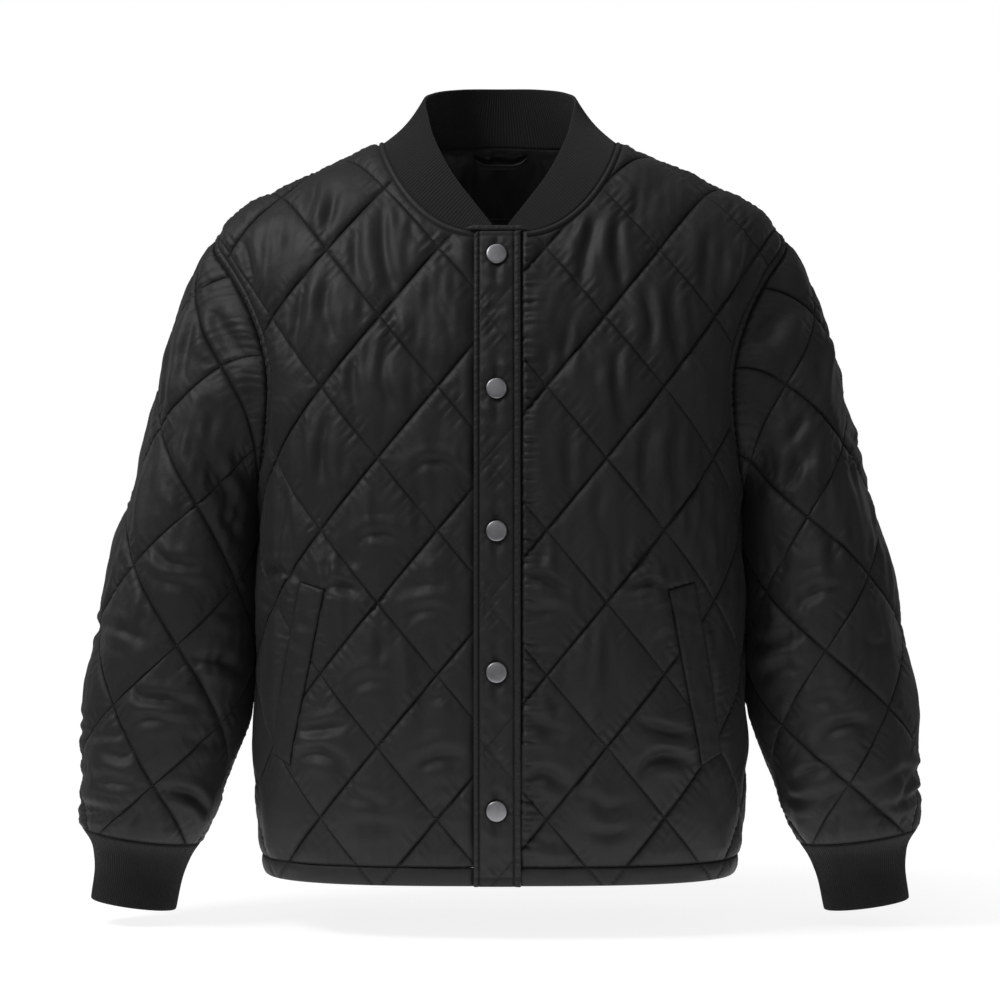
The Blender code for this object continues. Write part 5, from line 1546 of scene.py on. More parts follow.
def make_back(seed):
    """The back and its stitches."""
    surface, quilt = surfaces["back"], QUILT["back"]
    half, neck, arm = half_outline("back", 0.0)
    outline = np.concatenate((half, [(0.0, half[-1, 1])], (half * (-1, 1))[1:][::-1]))[::-1]
    neck = np.concatenate(((neck * (-1, 1))[:0:-1], neck))
    rows = [band_line(neck, outline, NECK_BAND, 4)]
    rows += [band_line(arm * (side, 1), outline, ARM_BAND, 5) for side in (1, -1)]
    widths = (NECK_BAND, ARM_BAND, ARM_BAND)
    creases = echoed(CREASES["front_left"], (0.004, BACK_SHIFT), 1.0, 5)
    creases += echoed(CREASES["front_right"], (-0.004, BACK_SHIFT), -1.0, 6)
    quilting = Quilting(quilt, outline, seed, creases, [(row[0], width) for row, width in zip(rows, widths)],
                        (), lambda flat: near_sleeve(surface.at(flat)))
    edges = [rows_beside(neck, (NECK_BAND,), outline)]
    edges += [rows_beside(arm * (side, 1), (row,), outline) for side in (1, -1) for row in ARM_STITCHES]
    stitched = ((sewn_lines(quilt, outline), quilting.clear_of_bands),
                (edges, lambda flat: inside(outline, flat)))
    make_quilted("back", surface, quilting, quilting.heights, body_edge, stitched, rows=rows)


make_back(37)

# %% The lining and the hanger loop
def neck_line(surface):
    """Across and up of a half neck seam, from the middle outwards."""
    flat = neck_flat(surface, surface.turn > 0, 0.0)
    return flat[:, 0], flat[:, 1]


def make_lining(seed):
    """The plain lining inside the back of the neck."""
    surface = surfaces["back"]
    across = np.linspace(-LINING_HALF, LINING_HALF, LINING_COLUMNS)
    top = np.interp(np.abs(across), *neck_line(surface)) + 0.0030
    columns, painted_shades = [], []
    for x, high in zip(across, top):
        up = high - np.linspace(0.0, LINING_DEEP, LINING_ROWS)
        flat = np.stack((np.full(LINING_ROWS, x), up), axis=1)
        base, away = surface.at(flat), -surface.facing(flat)
        soft = ramp(np.minimum(high - up, LINING_HALF - abs(x)) / 0.006)
        waves = 0.0012 + 0.0016 * ripples(flat, 0.026, seed, (0.8, 2.5))
        waves += 0.0012 * np.exp(-((x / 0.004) ** 2))
        lift = WALL + 0.0006 + np.maximum(waves, 0.0) * soft
        low = base + away * lift[:, None]
        thick = 0.0003 + (LINING_WALL - 0.0003) * ramp((high - up) / 0.004)
        columns.append(np.concatenate((low + away * thick[:, None], low[::-1])))
        # painted shade: the colour is painted darker along the lining's top edge, below the neck seam
        dark = bell(high - up, 0.0016)
        painted_shades += [*dark, *dark[::-1]]
    points, faces = ring_shell(columns)
    piece = add_piece("dressed_lining", points, faces, lining_nylon, painted_shade=painted_shades)
    declare(piece, "neck_lining", (2 * LINING_HALF, LINING_DEEP + 0.02),
            2 * LINING_HALF * LINING_DEEP, ("dressed_back",))


def make_loop():
    """The hanger loop, a narrow folded strip that sags from the neck seam."""
    surface = surfaces["back"]
    across = np.linspace(-LOOP_HALF, LOOP_HALF, 61)
    sag = 1 - (across / LOOP_HALF) ** 4
    top = np.interp(np.abs(across), *neck_line(surface)) - LINING_DROP - GAP - LOOP_DIP * sag
    around = np.linspace(0.0, 2 * pi, 17)[:-1]
    columns = []
    for x, high, hang in zip(across, top, sag):
        up = high - LOOP_TALL / 2 + LOOP_TALL / 2 * power(np.cos(around), 0.6)
        flat = np.stack((np.full(16, x), up), axis=1)
        base, away = surface.at(flat), -surface.facing(flat)
        lift = WALL + 0.0034 + LOOP_HANG * hang + 0.0011 * (1 + power(np.sin(around), 0.7))
        columns.append(base + away * lift[:, None])
    points, faces = ring_shell(columns)
    piece = add_piece("dressed_loop", points, faces, lining_nylon)
    length = 2 * LOOP_HALF + 0.012
    declare(piece, "hanger_loop", (LOOP_TALL * 2, length), LOOP_TALL * length,
            ("dressed_lining",))


make_lining(41)
make_loop()
print("cut so far:", len(cuts), "pieces")

# %% [markdown]
# ## The placket
# The placket is a double strip with a rolled edge, a row of stitches beside it, and a pair
# of stitch lines where it is sewn to the left front. The snaps pull it in.

# %% The placket's sizes and its top
PLACKET_WALL, PLACKET_PUFF = 0.0030, 0.0018
PLACKET_LEVELS = 420     # points from its foot to its top
SNAP_RADIUS, SNAP_RISE = 0.0090, 0.0030
SNAP_ACROSS = -0.0030
SNAP_LEVELS = (-0.1040, -0.2200, -0.3415, -0.4620, -0.5800)
SEWN_SHADE = 0.0009      # half width of the painted shade along a row of stitches
EDGE_ROW, SEAM_ROW = 0.0046, 0.0060      # stitch lines from the free edge and from the sewn one
TOP_ROW, FOOT_ROW, CORNER = 0.0046, 0.0075, 0.0070
SEAM_BACKING = (0.0160, 0.0215)         # the seam allowance behind the sewn edge
BACKING_WALL = 0.0005                    # its thickness, and its distance from the wall


def snap_places(surface):
    """Cloth coordinates of the snaps on the placket."""
    return surface.locate(np.stack((np.full(5, SNAP_ACROSS), SNAP_LEVELS), axis=1), (0, 2), (0.0, 0.0))


def placket_top(surface):
    """The placket's upper edge, rounded at its free corner."""
    width = PLACKET_LEFT - PLACKET_RIGHT
    beside = (0.0, 0.0005, 0.0011, 0.0022, 0.0035)
    columns = np.concatenate((beside, EDGE_ROW + np.array((-0.0006, 0.0, 0.0006, 0.0014)),
                              np.linspace(EDGE_ROW + 0.0026, width - SEAM_ROW - 0.0026, 19),
                              width - SEAM_ROW + np.array((-0.0014, -0.0006, 0.0, 0.0006)),
                              width - np.array(beside[::-1]))) + PLACKET_RIGHT
    neck = neck_flat(surface, True, -0.030)
    top = np.interp(columns, neck[:, 0], neck[:, 1]) - GAP
    beyond = np.clip(CORNER - (columns - PLACKET_RIGHT), 0.0, CORNER) / CORNER
    return columns, top - CORNER * (1 - (1 - beyond**2) ** 0.5)


def make_neck_strip(surface, seed):
    """The short band that runs on from both necks over the placket's top."""
    across = np.linspace(PLACKET_RIGHT - 0.009, PLACKET_LEFT + 0.009, 61)
    neck = neck_flat(surface, True, -0.034)
    up = np.interp(across, neck[:, 0], neck[:, 1]) + GAP
    flat = np.stack((across, up), axis=1)
    base, away = surface.laid(flat)
    rise = unit(base - surface.at(flat - (0.0, 0.004)))
    taper = ramp(np.minimum(across - across[0], across[-1] - across) / 0.010)
    taper = taper**2 * (3 - 2 * taper)
    wave = 1 + 0.2 * gathers(across, 0.0070, seed)
    turn = np.linspace(0.0, 2 * pi, 15)[:-1]
    rows = []
    for i in range(len(across)):
        tall = (0.0003 + 0.0046 * taper[i]) * (0.5 - 0.5 * np.cos(turn))
        out = 0.0019 + 0.0011 * taper[i] * wave[i] * np.sin(turn)
        rows.append(base[i] + rise[i] * tall[:, None] + away[i] * out[:, None])
    return add_piece("placket_neck_strip", *ring_shell(rows), quilted_nylon)


# %% Making the placket
def make_placket(seed):
    """The placket and its stitches."""
    surface, quilt = surfaces["front"], QUILT["front_left"]
    columns, top = placket_top(surface)
    low = HEM_EDGE - CHEST["front"]
    snaps = snap_places(surface)

    def from_edges(flat):
        """Distances from the free edge, the sewn edge, the top and the foot."""
        head = np.interp(flat[:, 0], columns, top) - flat[:, 1]
        return flat[:, 0] - PLACKET_RIGHT, PLACKET_LEFT - flat[:, 0], head, flat[:, 1] - low

    def from_snaps(flat):
        """Distance from the middle of the nearest snap."""
        return np.linalg.norm(flat[:, None] - snaps, axis=2).min(axis=1)

    def lift(flat):
        free, sewn, head, foot = from_edges(flat)
        soft = ramp(np.minimum(free - EDGE_ROW, sewn - SEAM_ROW) / 0.006) ** 0.5
        soft *= ramp(np.minimum(head - TOP_ROW, foot - FOOT_ROW) / 0.006) ** 0.5
        press = ramp((from_snaps(flat) - 0.95 * SNAP_RADIUS) / (1.3 * SNAP_RADIUS))
        height = 1.3 * PLACKET_PUFF * wadding(flat, quilt) ** 0.8 * soft * press
        height += 0.0008 * ripples(flat, 0.018, seed) * soft * press
        height += 0.9 * puckers(flat, quilt, seed) * soft
        for x, y in snaps:
            beside, above = (flat[:, 0] - x) / 0.0028, np.abs(flat[:, 1] - y)
            pull = np.exp(-beside**2) - 0.45 * np.exp(-(np.abs(beside) - 2.2) ** 2)
            height -= 0.0015 * pull * bell(above - 0.014, 0.013) * soft
            turn = np.arctan2(flat[:, 1] - y, flat[:, 0] - x)
            ring = np.hypot(flat[:, 0] - x, flat[:, 1] - y) / SNAP_RADIUS
            height += 0.0003 * np.sin(11 * turn + 5 * x + 3 * y) * bell(ring - 1.35, 0.4)
        strip = 0.0008 * np.sin(pi * ramp(free / EDGE_ROW))
        strip += 0.0008 * np.sin(pi * ramp(sewn / SEAM_ROW))
        strip *= 1 + 0.8 * gathers(flat[:, 1], 0.0065, seed + 2)
        height += strip
        for far in (free - EDGE_ROW, sewn - SEAM_ROW, head - TOP_ROW, foot - FOOT_ROW):
            height -= 0.0007 * bell(far, 0.0009)
        roll = ramp(np.minimum(np.minimum(free, sewn), np.minimum(head, foot)) / 0.0016)
        height -= np.where(sewn < 0.0016, 0.0003, 0.0012) * (1 - (1 - (1 - roll) ** 2) ** 0.5)
        return GAP + PLACKET_WALL + height

    # painted shade: the colour is painted darker along the stitch rows and the diamonds' sewn lines, and in
    # a ring round each snap where the cloth is pulled in
    def painted_shade(flat):
        free, sewn, head, foot = from_edges(flat)
        far = np.minimum(np.minimum(np.abs(free - EDGE_ROW), np.abs(sewn - SEAM_ROW)),
                         np.minimum(np.abs(head - TOP_ROW), np.abs(foot - FOOT_ROW)))
        lines = np.minimum(*[slant[0] for slant in sewn_distance(flat, quilt)])
        dark = bell(lines, SEWN_SHADE) * ((free > EDGE_ROW) & (sewn > SEAM_ROW))
        dark = np.maximum(0.5 * dark, 0.9 * bell(from_snaps(flat) - 1.05 * SNAP_RADIUS, 0.0008))
        return np.maximum(dark, 0.85 * bell(far, 0.0007))

    rows, painted_shades = [], []
    for share in np.linspace(0.0, 1.0, PLACKET_LEVELS):
        flat = np.stack((columns, low + (top - low) * share), axis=1)
        base, away = surface.laid(flat)
        painted_shades += [*painted_shade(flat), *np.zeros(len(flat))]
        outer = base + away * lift(flat)[:, None]
        rows.append(np.concatenate((outer, (base + away * GAP)[::-1])))
    points, faces = ring_shell(rows)
    piece = add_piece("dressed_placket", points, faces, quilted_nylon, painted_shade=painted_shades)
    head = top[-1] - TOP_ROW
    free, sewn, turn_up = PLACKET_RIGHT + EDGE_ROW, PLACKET_LEFT - SEAM_ROW, low + FOOT_ROW
    sides = [np.array(((x, low + 0.002), (x, head))) for x in (sewn, PLACKET_LEFT - 0.0012)]
    turned = np.array([(free, turn_up), (free, top[6] - 0.006), (free + 0.0015, top[6] - TOP_ROW),
                       (sewn, top[-6] - TOP_ROW)])
    foot = np.array(((free, turn_up), (sewn, turn_up)))

    def clear(flat):
        return (flat[:, 1] > low) & (flat[:, 1] < np.interp(flat[:, 0], columns, top) - CLEAR_STITCH)

    def field(flat):
        within = (flat[:, 0] > free + CLEAR_STITCH) & (flat[:, 0] < sewn - CLEAR_STITCH)
        within &= (flat[:, 1] > turn_up) & (flat[:, 1] < head)
        return within & (from_snaps(flat) > 1.15 * SNAP_RADIUS)

    edges = stitch_rows(sides + [turned, foot], surface, lift, clear)
    box = np.array(((PLACKET_RIGHT, low), (PLACKET_LEFT, low), (PLACKET_LEFT, head), (PLACKET_RIGHT, head)))
    diamonds = stitch_rows(sewn_lines(quilt, box), surface, lift, field)
    stitches = add_piece("stitches_placket", *join(edges, diamonds), thread)
    across = np.linspace(SEAM_BACKING[0], SEAM_BACKING[1], 5)
    backing = []
    for up in np.linspace(low + 0.002, top[-1] - 0.004, 90):
        flat = np.stack((across, np.full(5, up)), axis=1)
        base, away = surface.laid(flat)
        sides = base - away * (WALL + BACKING_WALL), base - away * (WALL + 2 * BACKING_WALL)
        backing.append(np.concatenate((sides[0], sides[1][::-1])))
    backing = add_piece("placket_seam_allowance", *ring_shell(backing), quilted_nylon)
    neck_strip = make_neck_strip(surface, seed + 4)
    width, length = PLACKET_LEFT - PLACKET_RIGHT, float(top.max() - low)
    declare(piece, "placket", (width, length), width * length * 0.98,
            ("dressed_front_left",), (stitches, backing, neck_strip))


make_placket(53)

# %% [markdown]
# ## The snaps
# Each snap shows a flat-domed cap with a rolled rim. A turned profile gives it, as on a
# lathe, with enough steps that its rim looks round from close by.

# %% Making the snaps
# share of the cap's radius and of its height, from the top down
SNAP_PROFILE = ((0.30, 1.0), (0.60, 0.94), (0.78, 0.88), (0.88, 0.82), (0.94, 0.72), (0.98, 0.54),
                (1.0, 0.34), (0.985, 0.12), (0.93, 0.0))
SNAP_TURNS = 64


def make_snap(number, flat):
    """One cap, turned from its profile."""
    points = []
    for turn in np.arange(SNAP_TURNS) / SNAP_TURNS * 2 * pi:
        for out, high in SNAP_PROFILE:
            radius = out * SNAP_RADIUS
            points.append((radius * np.cos(turn), radius * np.sin(turn), high * SNAP_RISE))
    count, middle = len(SNAP_PROFILE), len(points)
    points += [(0.0, 0.0, 1.02 * SNAP_RISE), (0.0, 0.0, 0.0)]
    faces, ends = [], []
    for i in range(SNAP_TURNS):
        here, after = i * count, (i + 1) % SNAP_TURNS * count
        faces += [(here + k, after + k, after + k + 1, here + k + 1) for k in range(count - 1)]
        ends += [(middle, here, after), (middle + 1, after + count - 1, here + count - 1)]
    faces += ends
    surface = surfaces["front"]
    away = surface.facing(flat)[0]
    frame_of_cap = Vector(away).to_track_quat("Z", "Y").to_matrix()
    spot = surface.at(flat)[0] + away * (GAP + PLACKET_WALL + GAP)
    points = [tuple(np.array(frame_of_cap @ Vector(p)) + spot) for p in points]
    piece = add_piece(f"dressed_snap_{number}", points, faces, gunmetal)
    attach(piece, "root")
    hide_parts(f"snap_{number}")


for number, flat in enumerate(snap_places(surfaces["front"]), 1):
    make_snap(number, flat)

# %% [markdown]
# ## The hem band
# A narrow band closes the body below a gathered seam. It is rolled at its lower edge, and
# the sewn diamonds go on faintly over it.

# %% Making the hem band
HEM_STEP = 0.0026        # spacing of the band's columns
HEM_LEVELS = 17          # points from its seam to its lower edge


def make_hem_band(seed):
    """The hem band, an open ring from the left front's edge round to the underlap's."""
    columns, painted_shades, turned_up = [], [], []
    stretches = (("front", PLACKET_LEFT + 0.0001, 0.97, None), ("back", 1.0, -1.0, None),
                 ("front", -0.97, PLACKET_RIGHT - 2 * FOLD_CLEAR, None),
                 ("front", PLACKET_RIGHT - FOLD_CLEAR, UNDERLAP, -UNDERLAP_SINK))
    share = np.linspace(0.0, 1.0, HEM_LEVELS)
    top, foot = HEM_LINE - GAP / 2, HEM_EDGE
    for side, start, end, sunk in stretches:
        surface = surfaces[side]
        quilt = QUILT["back" if side == "back" else "front_left" if start > 0 else "front_right"]
        seam = surface.locate(((0.0, top),), (1, 2), (SIDE_GUESS, top - CHEST[side]))[0, 0]
        start, end = (seam * v if abs(v) > 0.5 else v for v in (start, end))
        for across in np.linspace(start, end, max(4, int(abs(end - start) / HEM_STEP))):
            up = top + (foot - top) * share - CHEST[side]
            flat = np.stack((np.full(HEM_LEVELS, across), up), axis=1)
            out = unit(surface.facing(flat) * (1.0, 1.0, 0.0))
            base = surface.at(flat)
            if sunk is None:
                place = np.full(HEM_LEVELS, across + (10.0 if side == "back" else 0.0))
                rise = HEM_SWELL * 2.2 * np.sin(pi * share) ** 0.5
                wave = gathers(place, 0.0080, seed) * np.exp(-share * 2.6)
                worn = flat * (1.0 if across > 0 else -1.0, 1.0)
                line = np.minimum(*[slant[0] for slant in sewn_distance(worn, quilt)])
                rise += (0.0011 * wave - 0.0009 * bell(line, 0.0016)) * np.sin(pi * share) ** 0.5
                # painted shade: darker along the diamonds' lines and just under the seam, where the band
                # lies in the body's shadow
                dark = np.maximum(0.7 * bell(line, 0.0012), np.exp(-share * 30))
                rise += 0.0003 * ripples(flat, 0.020, seed + 1) * np.sin(pi * share)
            else:
                rise, dark = np.full(HEM_LEVELS, sunk), np.zeros(HEM_LEVELS)
            outer = base + out * rise[:, None]
            inner = base - out * (WALL - 0.0004 * np.sin(pi * share)[:, None])
            columns.append(np.concatenate((outer, inner[::-1])))
            painted_shades += [*dark, *np.zeros(HEM_LEVELS)]
            if sunk is None:
                flat = np.stack((np.full(3, across), up[0] + np.array((0.0035, 0.0, -0.0035))), axis=1)
                out = unit(surface.facing(flat) * (1.0, 1.0, 0.0))
                base = surface.at(flat) - out * (WALL + BACKING_WALL)
                turned_up.append(np.concatenate((base, (base - out * BACKING_WALL)[::-1])))
    points, faces = ring_shell(columns)
    piece = add_piece("dressed_hem_band", points, faces, quilted_nylon, painted_shade=painted_shades)
    around = float(lengths(np.array(columns)[:, 8])[-1])
    turned_up = add_piece("hem_seam_allowance", *ring_shell(turned_up), quilted_nylon)
    declare(piece, "hem_band", (around, top - foot), around * (top - foot),
            ("dressed_back", "dressed_front_left", "dressed_front_right"), (turned_up,))


make_hem_band(61)

# %% [markdown]
# ## The sleeves
# A sleeve is one flat piece too, with a curved head, closed into a tube by its underarm seam.
# It has its own creases: long folds where the arm hangs, and short arcs round the elbow.
# The hidden half gets similar ones, mirrored through its outer side.

# %% Making a sleeve
def level_direction(row, angle):
    """Outward in the plane of a leaning level."""
    lean = radians(row[5])
    out = np.cos(angle) / row[3]
    front = np.sin(angle) / row[4]
    return unit(np.stack((out * np.cos(lean), -front, out * np.sin(lean)), axis=1))


OUTER_SIDE = -0.110      # `across` of the sleeve's outer side, which mirrors its front


def make_sleeve(name, seed):
    """One sleeve and its stitches."""
    form, quilt, right = sleeve_form, QUILT[name], name == "sleeve_right"
    place = np.linspace(1.0, -1.0, 2 * ARM_POINTS + 1)
    angle = pi * power(place, 1 / CAP_LEAN)
    head = np.stack((np.interp(angle, form.cap_angle, form.columns), np.zeros(len(place))), axis=1)
    head[:, 1] = np.interp(head[:, 0], form.columns, form.cap_height)
    foot = -form.length
    levels = head[0, 1] + (foot - head[0, 1]) * (np.arange(SIDE_POINTS) + 0.5) / SIDE_POINTS
    front_seam = np.stack((form.seam_across(levels, pi), levels), axis=1)
    back_seam = np.stack((form.seam_across(levels, -pi), levels), axis=1)
    ends = [form.seam_across(np.array((foot,)), turn)[0] for turn in (pi, -pi)]
    cuff_edge = spaced((ends[1], foot), (ends[0], foot))
    outline = np.concatenate((head, back_seam, cuff_edge, [(ends[0], foot)], front_seam[::-1]))
    creases = CREASES[name] + echoed(CREASES[name], (2 * OUTER_SIDE, 0.010), -1.0, seed + 3)
    quilting = Quilting(quilt, outline, seed, creases)
    quilting.tight = 0 if right else 1

    def raise_by(flat):
        around = form.angle_at(flat)
        inner_side = ramp((np.cos(around - pi) - 0.5) / 0.3)
        pressed = inner_side * ramp((flat[:, 1] - PRESSED_FROM) / PRESSED_SOFT)
        height = quilting.heights(flat)
        return np.where(height > 0, height * (1 - 0.1 * pressed), height) + 0.0015 * pressed

    def edge_rule(flat, base, away):
        base, away = base.copy(), away.copy()
        around = form.angle_at(flat)
        around = np.where(np.abs(around) > pi - SEAM_ANGLE, np.sign(around) * pi, around)
        at_top = flat[:, 1] > np.interp(flat[:, 0], form.columns, form.cap_height) - SAME_EDGE
        point, out = form.seam_point(around)
        base[at_top] = (point + unit(ARM_AXIS) * ARM_GAP / 2)[at_top]
        away[at_top] = out[at_top]
        at_foot = flat[:, 1] < foot + SAME_EDGE / 2
        base[at_foot] = form.oval(flat[:, 1], around)[at_foot]
        away[at_foot] = level_direction(SLEEVE[0], around)[at_foot]
        at_seam = ~at_top & ~at_foot
        base[at_seam] = resample(form.underarm, form.up, flat[:, 1])[at_seam]
        away[at_seam] = level_direction(SLEEVE[3], np.full(len(flat), pi))[at_seam]
        return base, away

    def at_underarm(flat):
        return np.abs(form.angle_at(flat)) > pi - SEAM_ANGLE

    def clear(flat):
        return inside(outline, flat) & (quilting.edge.near(flat)[0] > 1.5 * CLEAR_STITCH)

    make_quilted(name, form, quilting, raise_by, edge_rule, ((sewn_lines(quilt, outline), clear),),
                 ("dressed_back", "dressed_front_right" if right else "dressed_front_left"), right,
                 own_seam=at_underarm)


make_sleeve("sleeve_left", 71)
make_sleeve("sleeve_right", 83)

# %% [markdown]
# ## The knitted trims
# Collar and cuffs are knitted in ribs, on both sides, and folded over at their free edge.
# Each shell is built from columns that run up its outer face, over the fold and down its
# inner face. Ribs are soft waves between the columns.

# %% Ribs and folded edges
RIB_WALL = 0.0030
RIB_RISE = 0.0010
COLLAR_RIBS, CUFF_RIBS = 112, 62
# share of the half neck seam, then x, y, z of the collar's free edge
COLLAR_EDGE = np.array([
    (0.00, 0.0, 0.0700, 0.0645),
    (0.18, 0.0370, 0.0600, 0.0630),
    (0.36, 0.0610, 0.0300, 0.0560),
    (0.47, 0.0682, 0.0080, 0.0485),
    (0.60, 0.0650, -0.0120, 0.0310),
    (0.70, 0.0596, -0.0330, 0.0105),
    (0.79, 0.0503, -0.0530, -0.0112),
    (0.86, 0.0400, -0.0670, -0.0300),
    (0.93, 0.0244, -0.0810, -0.0520),
    (1.00, 0.0072, -0.0950, -0.0748),
])
COLLAR_LEVELS, CUFF_LEVELS = 20, 18      # points up the outer side of each
COLLAR_TALL = 0.060      # the collar's usual height
COLLAR_BULGE = 0.0025    # how far the collar rounds outwards half way up
# middle z, middle x, middle y, half across, half deep, lean in degrees
CUFF = np.array([
    (-0.6134, 0.3200, -0.0200, 0.0530, 0.0540, 8.0),
    (-0.6240, 0.3197, -0.0203, 0.0460, 0.0430, 8.0),
    (-0.6400, 0.3215, -0.0209, 0.0408, 0.0345, 8.0),
    (-0.6750, 0.3270, -0.0225, 0.0382, 0.0310, 8.0),
])
RIB_COLUMNS = 4          # columns to one fine rib
FINE_RIBS = 2            # fine ribs for each broad one of the solids
COLLAR_END = 0.0068      # x where the collar's ends meet the placket


def rib_depth(columns):
    """Depth of the valley between two ribs at each column."""
    phase = np.arange(columns) / RIB_COLUMNS
    return 0.6 * RIB_RISE * (1 - np.abs(np.cos(pi * phase)) ** 0.8)


def folded(levels, tall):
    """Share of the height and of the wall's depth once up the outside and down the inside."""
    turn = np.linspace(0.0, pi, 9)
    half = RIB_WALL / 2
    up = np.linspace(0.0, 1.0 - half / tall, levels)
    height = np.concatenate((up[:-1], 1 - half / tall * (1 - np.sin(turn)), up[:-1][::-1]))
    outward = np.concatenate((np.ones(levels - 1), np.cos(turn), -np.ones(levels - 1)))
    return height, outward


# %% Making the collar
def make_collar(seed):
    """The rib collar: it stands on the neck seam and narrows to a V in front."""
    back = surfaces["back"].at(neck_flat(surfaces["back"], False, 0.0))
    front = surfaces["front"].at(neck_flat(surfaces["front"], True, COLLAR_END))
    seam = np.concatenate((back, front[::-1]))
    share = lengths(seam) / lengths(seam)[-1]
    edge = np.concatenate((COLLAR_EDGE[:0:-1] * (-1.0, -1.0, 1.0, 1.0), COLLAR_EDGE))
    count = FINE_RIBS * COLLAR_RIBS * RIB_COLUMNS + 1
    places = np.linspace(-1.0, 1.0, count)
    foot = resample(seam, share, np.abs(places))
    foot[places < 0, 0] *= -1.0
    lean_forward = places + 0.5 * np.sign(places) * places**2 * (1 - np.abs(places))
    free = np.stack([smooth(lean_forward, edge[:, 0], edge[:, column]) for column in (1, 2, 3)], axis=1)
    rise, run = unit(free - foot), unit(np.gradient((foot + free) / 2, axis=0))
    out = unit(np.cross(run, rise))
    out *= np.sign((out * ((foot + free) / 2 - (0.0, -0.01, 0.0)) * (1, 1, 0)).sum(axis=1))[:, None]
    foot = foot + rise * 0.0002
    depth = rib_depth(count)
    height, outward = folded(COLLAR_LEVELS, COLLAR_TALL)
    columns = []
    for i in range(count):
        half = RIB_WALL / 2 - depth[i] * ramp((1 - height) / 0.03 + 0.35)
        lean = 0.0006 * np.sin(pi * height) * np.sin(9.0 * places[i] + seed)
        hollow = 0.0030 * bell(abs(places[i]) - 0.45, 0.22)
        move = (0.2 * COLLAR_BULGE - hollow) * np.sin(pi * height) - RIB_WALL / 2 + half * outward + lean
        columns.append(foot[i] + (free[i] - foot[i]) * height[:, None] + out[i] * move[:, None])
    points, faces = ring_shell(columns)
    piece = add_piece("dressed_collar", points, faces, rib_knit)
    around = float(lengths((foot + free) / 2)[-1])
    tall = np.linalg.norm(free - foot, axis=1)
    declare(piece, "collar", (around * 1.02, float(tall.max())), around * float(tall.mean()),
            ("dressed_back", "dressed_front_left", "dressed_front_right"))


make_collar(2)

# %% Making the cuffs
def make_cuff(name, seed):
    """A rib cuff, gathered in below its seam and folded at its lower edge."""
    table = CUFF[::-1]
    count = FINE_RIBS * CUFF_RIBS * RIB_COLUMNS
    angle = np.arange(count) / count * 2 * pi
    depth = rib_depth(count)
    tall = table[-1, 0] - table[0, 0]
    height, outward = folded(CUFF_LEVELS, tall)
    chance = np.random.default_rng(seed)
    sway = sum(np.sin(k * angle + chance.uniform(0, 2 * pi)) for k in (3, 5, 8)) / 3
    middles = []
    for share in height:
        z = table[-1, 0] - tall * share
        level = level_of(table, z)
        turned = angle + 0.05 * sway * np.sin(pi * min(share * 1.3, 1.0))
        middles.append((leaning_oval(z, level, turned), level_direction((z, *level), turned)))
    rows = []
    for (oval, away), share, side in zip(middles, height, outward):
        half = RIB_WALL / 2 - depth * ramp((1 - share) / 0.03 + 0.35)
        gather = 0.0007 * gathers(angle * 0.05, 0.011, seed + 1) * np.exp(-share * 9) * min(share * 14, 1.0)
        rows.append(oval + away * (half * side - RIB_WALL / 2 + gather)[:, None])
    points, faces = ring_shell(np.array(rows).transpose(1, 0, 2), True)
    piece = add_piece("dressed_" + name, points, faces, cuff_knit_painted_darker, name == "cuff_right")
    around = float(lengths(np.append(rows[6], rows[6][:1], axis=0))[-1])
    declare(piece, name, (around, tall), around * tall * 0.9,
            ("dressed_sleeve_" + name[5:],))


make_cuff("cuff_left", 91)
make_cuff("cuff_right", 97)
print("cloth cut to (mm, mm, square cm):")
for name, size, area in cuts:
    print(" ", name, size, area)

# %% [markdown]
# ## Floor, light and camera
# Black cloth shows its shape only by what it reflects, so the light is soft and comes from
# large panels: a main one from the upper left, a weaker one from the right, and two
# behind that catch the sleeves' outer sides. The surroundings are bright for the eye
# and dimmer as a light, so that the folds keep their depth.

# %% Floor
FLOOR_WIDE, FLOOR_BELOW = 1.9, 0.012     # its width, and how far it lies below the cuffs
FLOOR_CLEAR, FLOOR_FADED = 0.35, 0.90    # it fades into the surroundings between these distances


def make_floor():
    """A plain pale floor just below the cuffs."""
    finish = Finish("floor_finish", Roughness=0.8, Emission_Strength=1.0)
    tone = finish.noise(0.8, 1.0)
    far = finish.node("VectorMath", {"operation": "LENGTH"}, {0: finish.place()}, 1)
    sockets = {"Value": far, "From Min": FLOOR_CLEAR, "From Max": FLOOR_FADED}
    glow = finish.node("MapRange", {"interpolation_type": "SMOOTHSTEP"}, sockets)
    finish.paint("Emission Color", finish.mix(glow, grey(0.85, 1.0), grey(0.97, 1.0)))
    finish.paint("Alpha", 1 - Value(finish, glow))
    finish.paint("Base Color", finish.mix(tone, grey(0.30, 1.0), grey(0.33, 1.0)))
    level = model_box[0][2] - FLOOR_BELOW
    bpy.ops.mesh.primitive_plane_add(size=FLOOR_WIDE, location=(0.0, 0.0, level))
    floor = bpy.context.object
    floor.name = "floor"
    floor.data.materials.append(finish.material)


make_floor()

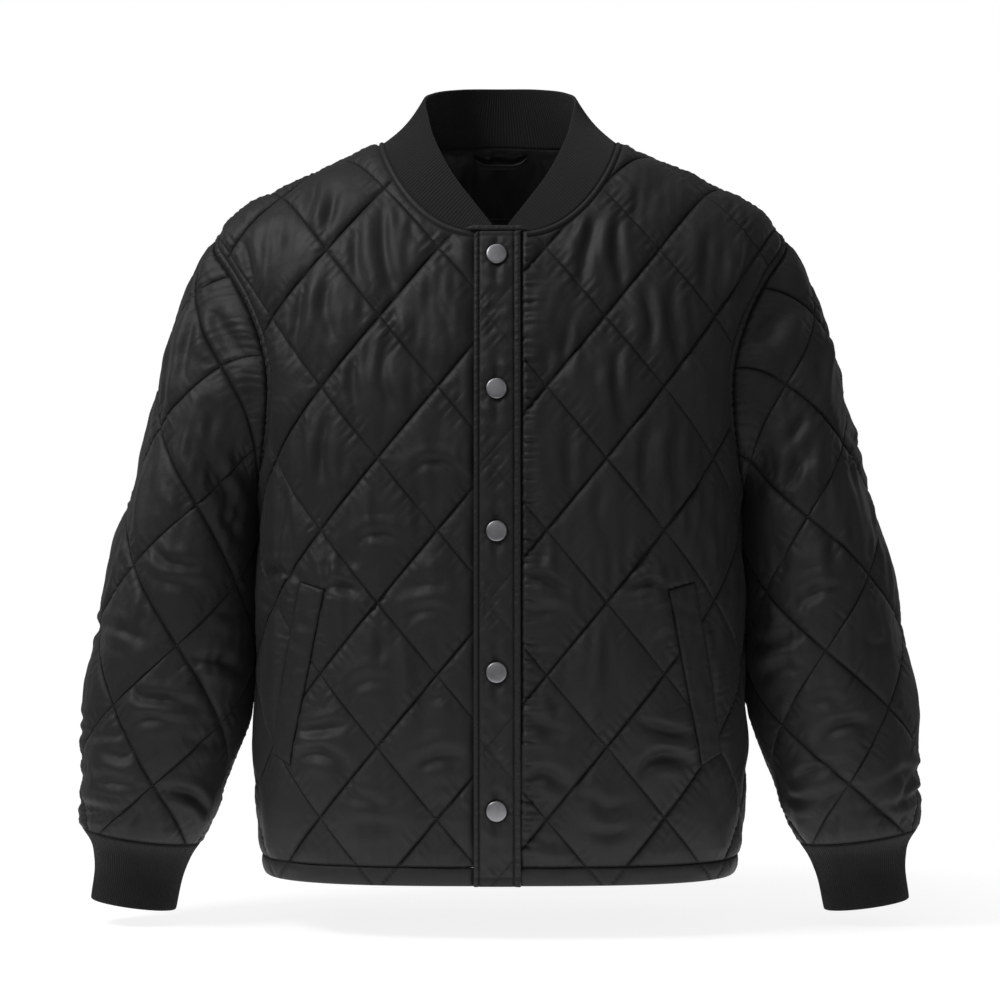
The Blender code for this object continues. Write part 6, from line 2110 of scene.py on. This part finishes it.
# %% Light
def panel(name, spot, aim, size, power_watts):
    """A soft square light that faces a point."""
    light = bpy.data.lights.new(name, "AREA")
    light.shape, light.size, light.energy = "SQUARE", size, power_watts
    lamp = bpy.data.objects.new(name, light)
    lamp.location = spot
    lamp.rotation_mode = "QUATERNION"
    lamp.rotation_quaternion = (Vector(aim) - Vector(spot)).to_track_quat("-Z", "Y")
    bpy.context.scene.collection.objects.link(lamp)


middle = (0.0, 0.0, -0.30)
panel("main_panel", (-1.9, -1.05, 1.9), middle, 1.1, 50.0)
panel("fill_panel", (1.9, -2.1, 0.3), middle, 1.5, 3.4)
panel("front_panel", (-0.4, -3.2, 0.9), middle, 1.4, 4.0)
panel("left_edge_panel", (-1.9, 1.3, 0.2), middle, 1.0, 1.5)
panel("right_edge_panel", (1.9, 1.3, 0.2), middle, 1.0, 1.5)
panel("top_panel", (0.0, -0.2, 2.2), middle, 1.4, 6.0)

SEEN_GLOW, CAST_GLOW = 1.0, 0.16     # the surroundings for the eye and as a light
world = bpy.data.worlds.new("studio")
bpy.context.scene.world = world
world.use_nodes = True
tree = world.node_tree
seen, cast = tree.nodes["Background"], tree.nodes.new("ShaderNodeBackground")
for glow, strength in ((seen, SEEN_GLOW), (cast, CAST_GLOW)):
    glow.inputs["Color"].default_value = grey(1.0, 1.0)
    glow.inputs["Strength"].default_value = strength
ray, choice = tree.nodes.new("ShaderNodeLightPath"), tree.nodes.new("ShaderNodeMixShader")
tree.links.new(ray.outputs["Is Camera Ray"], choice.inputs[0])
tree.links.new(cast.outputs[0], choice.inputs[1])
tree.links.new(seen.outputs[0], choice.inputs[2])
tree.links.new(choice.outputs[0], tree.nodes["World Output"].inputs["Surface"])
bpy.context.scene.view_settings.view_transform = "Standard"

# %% Camera
CAMERA_DISTANCE, CAMERA_LEVEL, VIEW_WIDTH = 2.6, -0.315, 0.9
SENSOR = 36.0            # millimetres, as is the lens
camera = bpy.data.cameras.new("camera")
camera.sensor_width = SENSOR
camera.lens = SENSOR * CAMERA_DISTANCE / VIEW_WIDTH
stand = bpy.data.objects.new("camera", camera)
stand.location = (0.0, -CAMERA_DISTANCE, CAMERA_LEVEL)
stand.rotation_euler = (pi / 2, 0.0, 0.0)
bpy.context.scene.collection.objects.link(stand)
bpy.context.scene.camera = stand
print("lens:", round(camera.lens, 1), "mm")

# %% The end
bpy.context.view_layer.update()
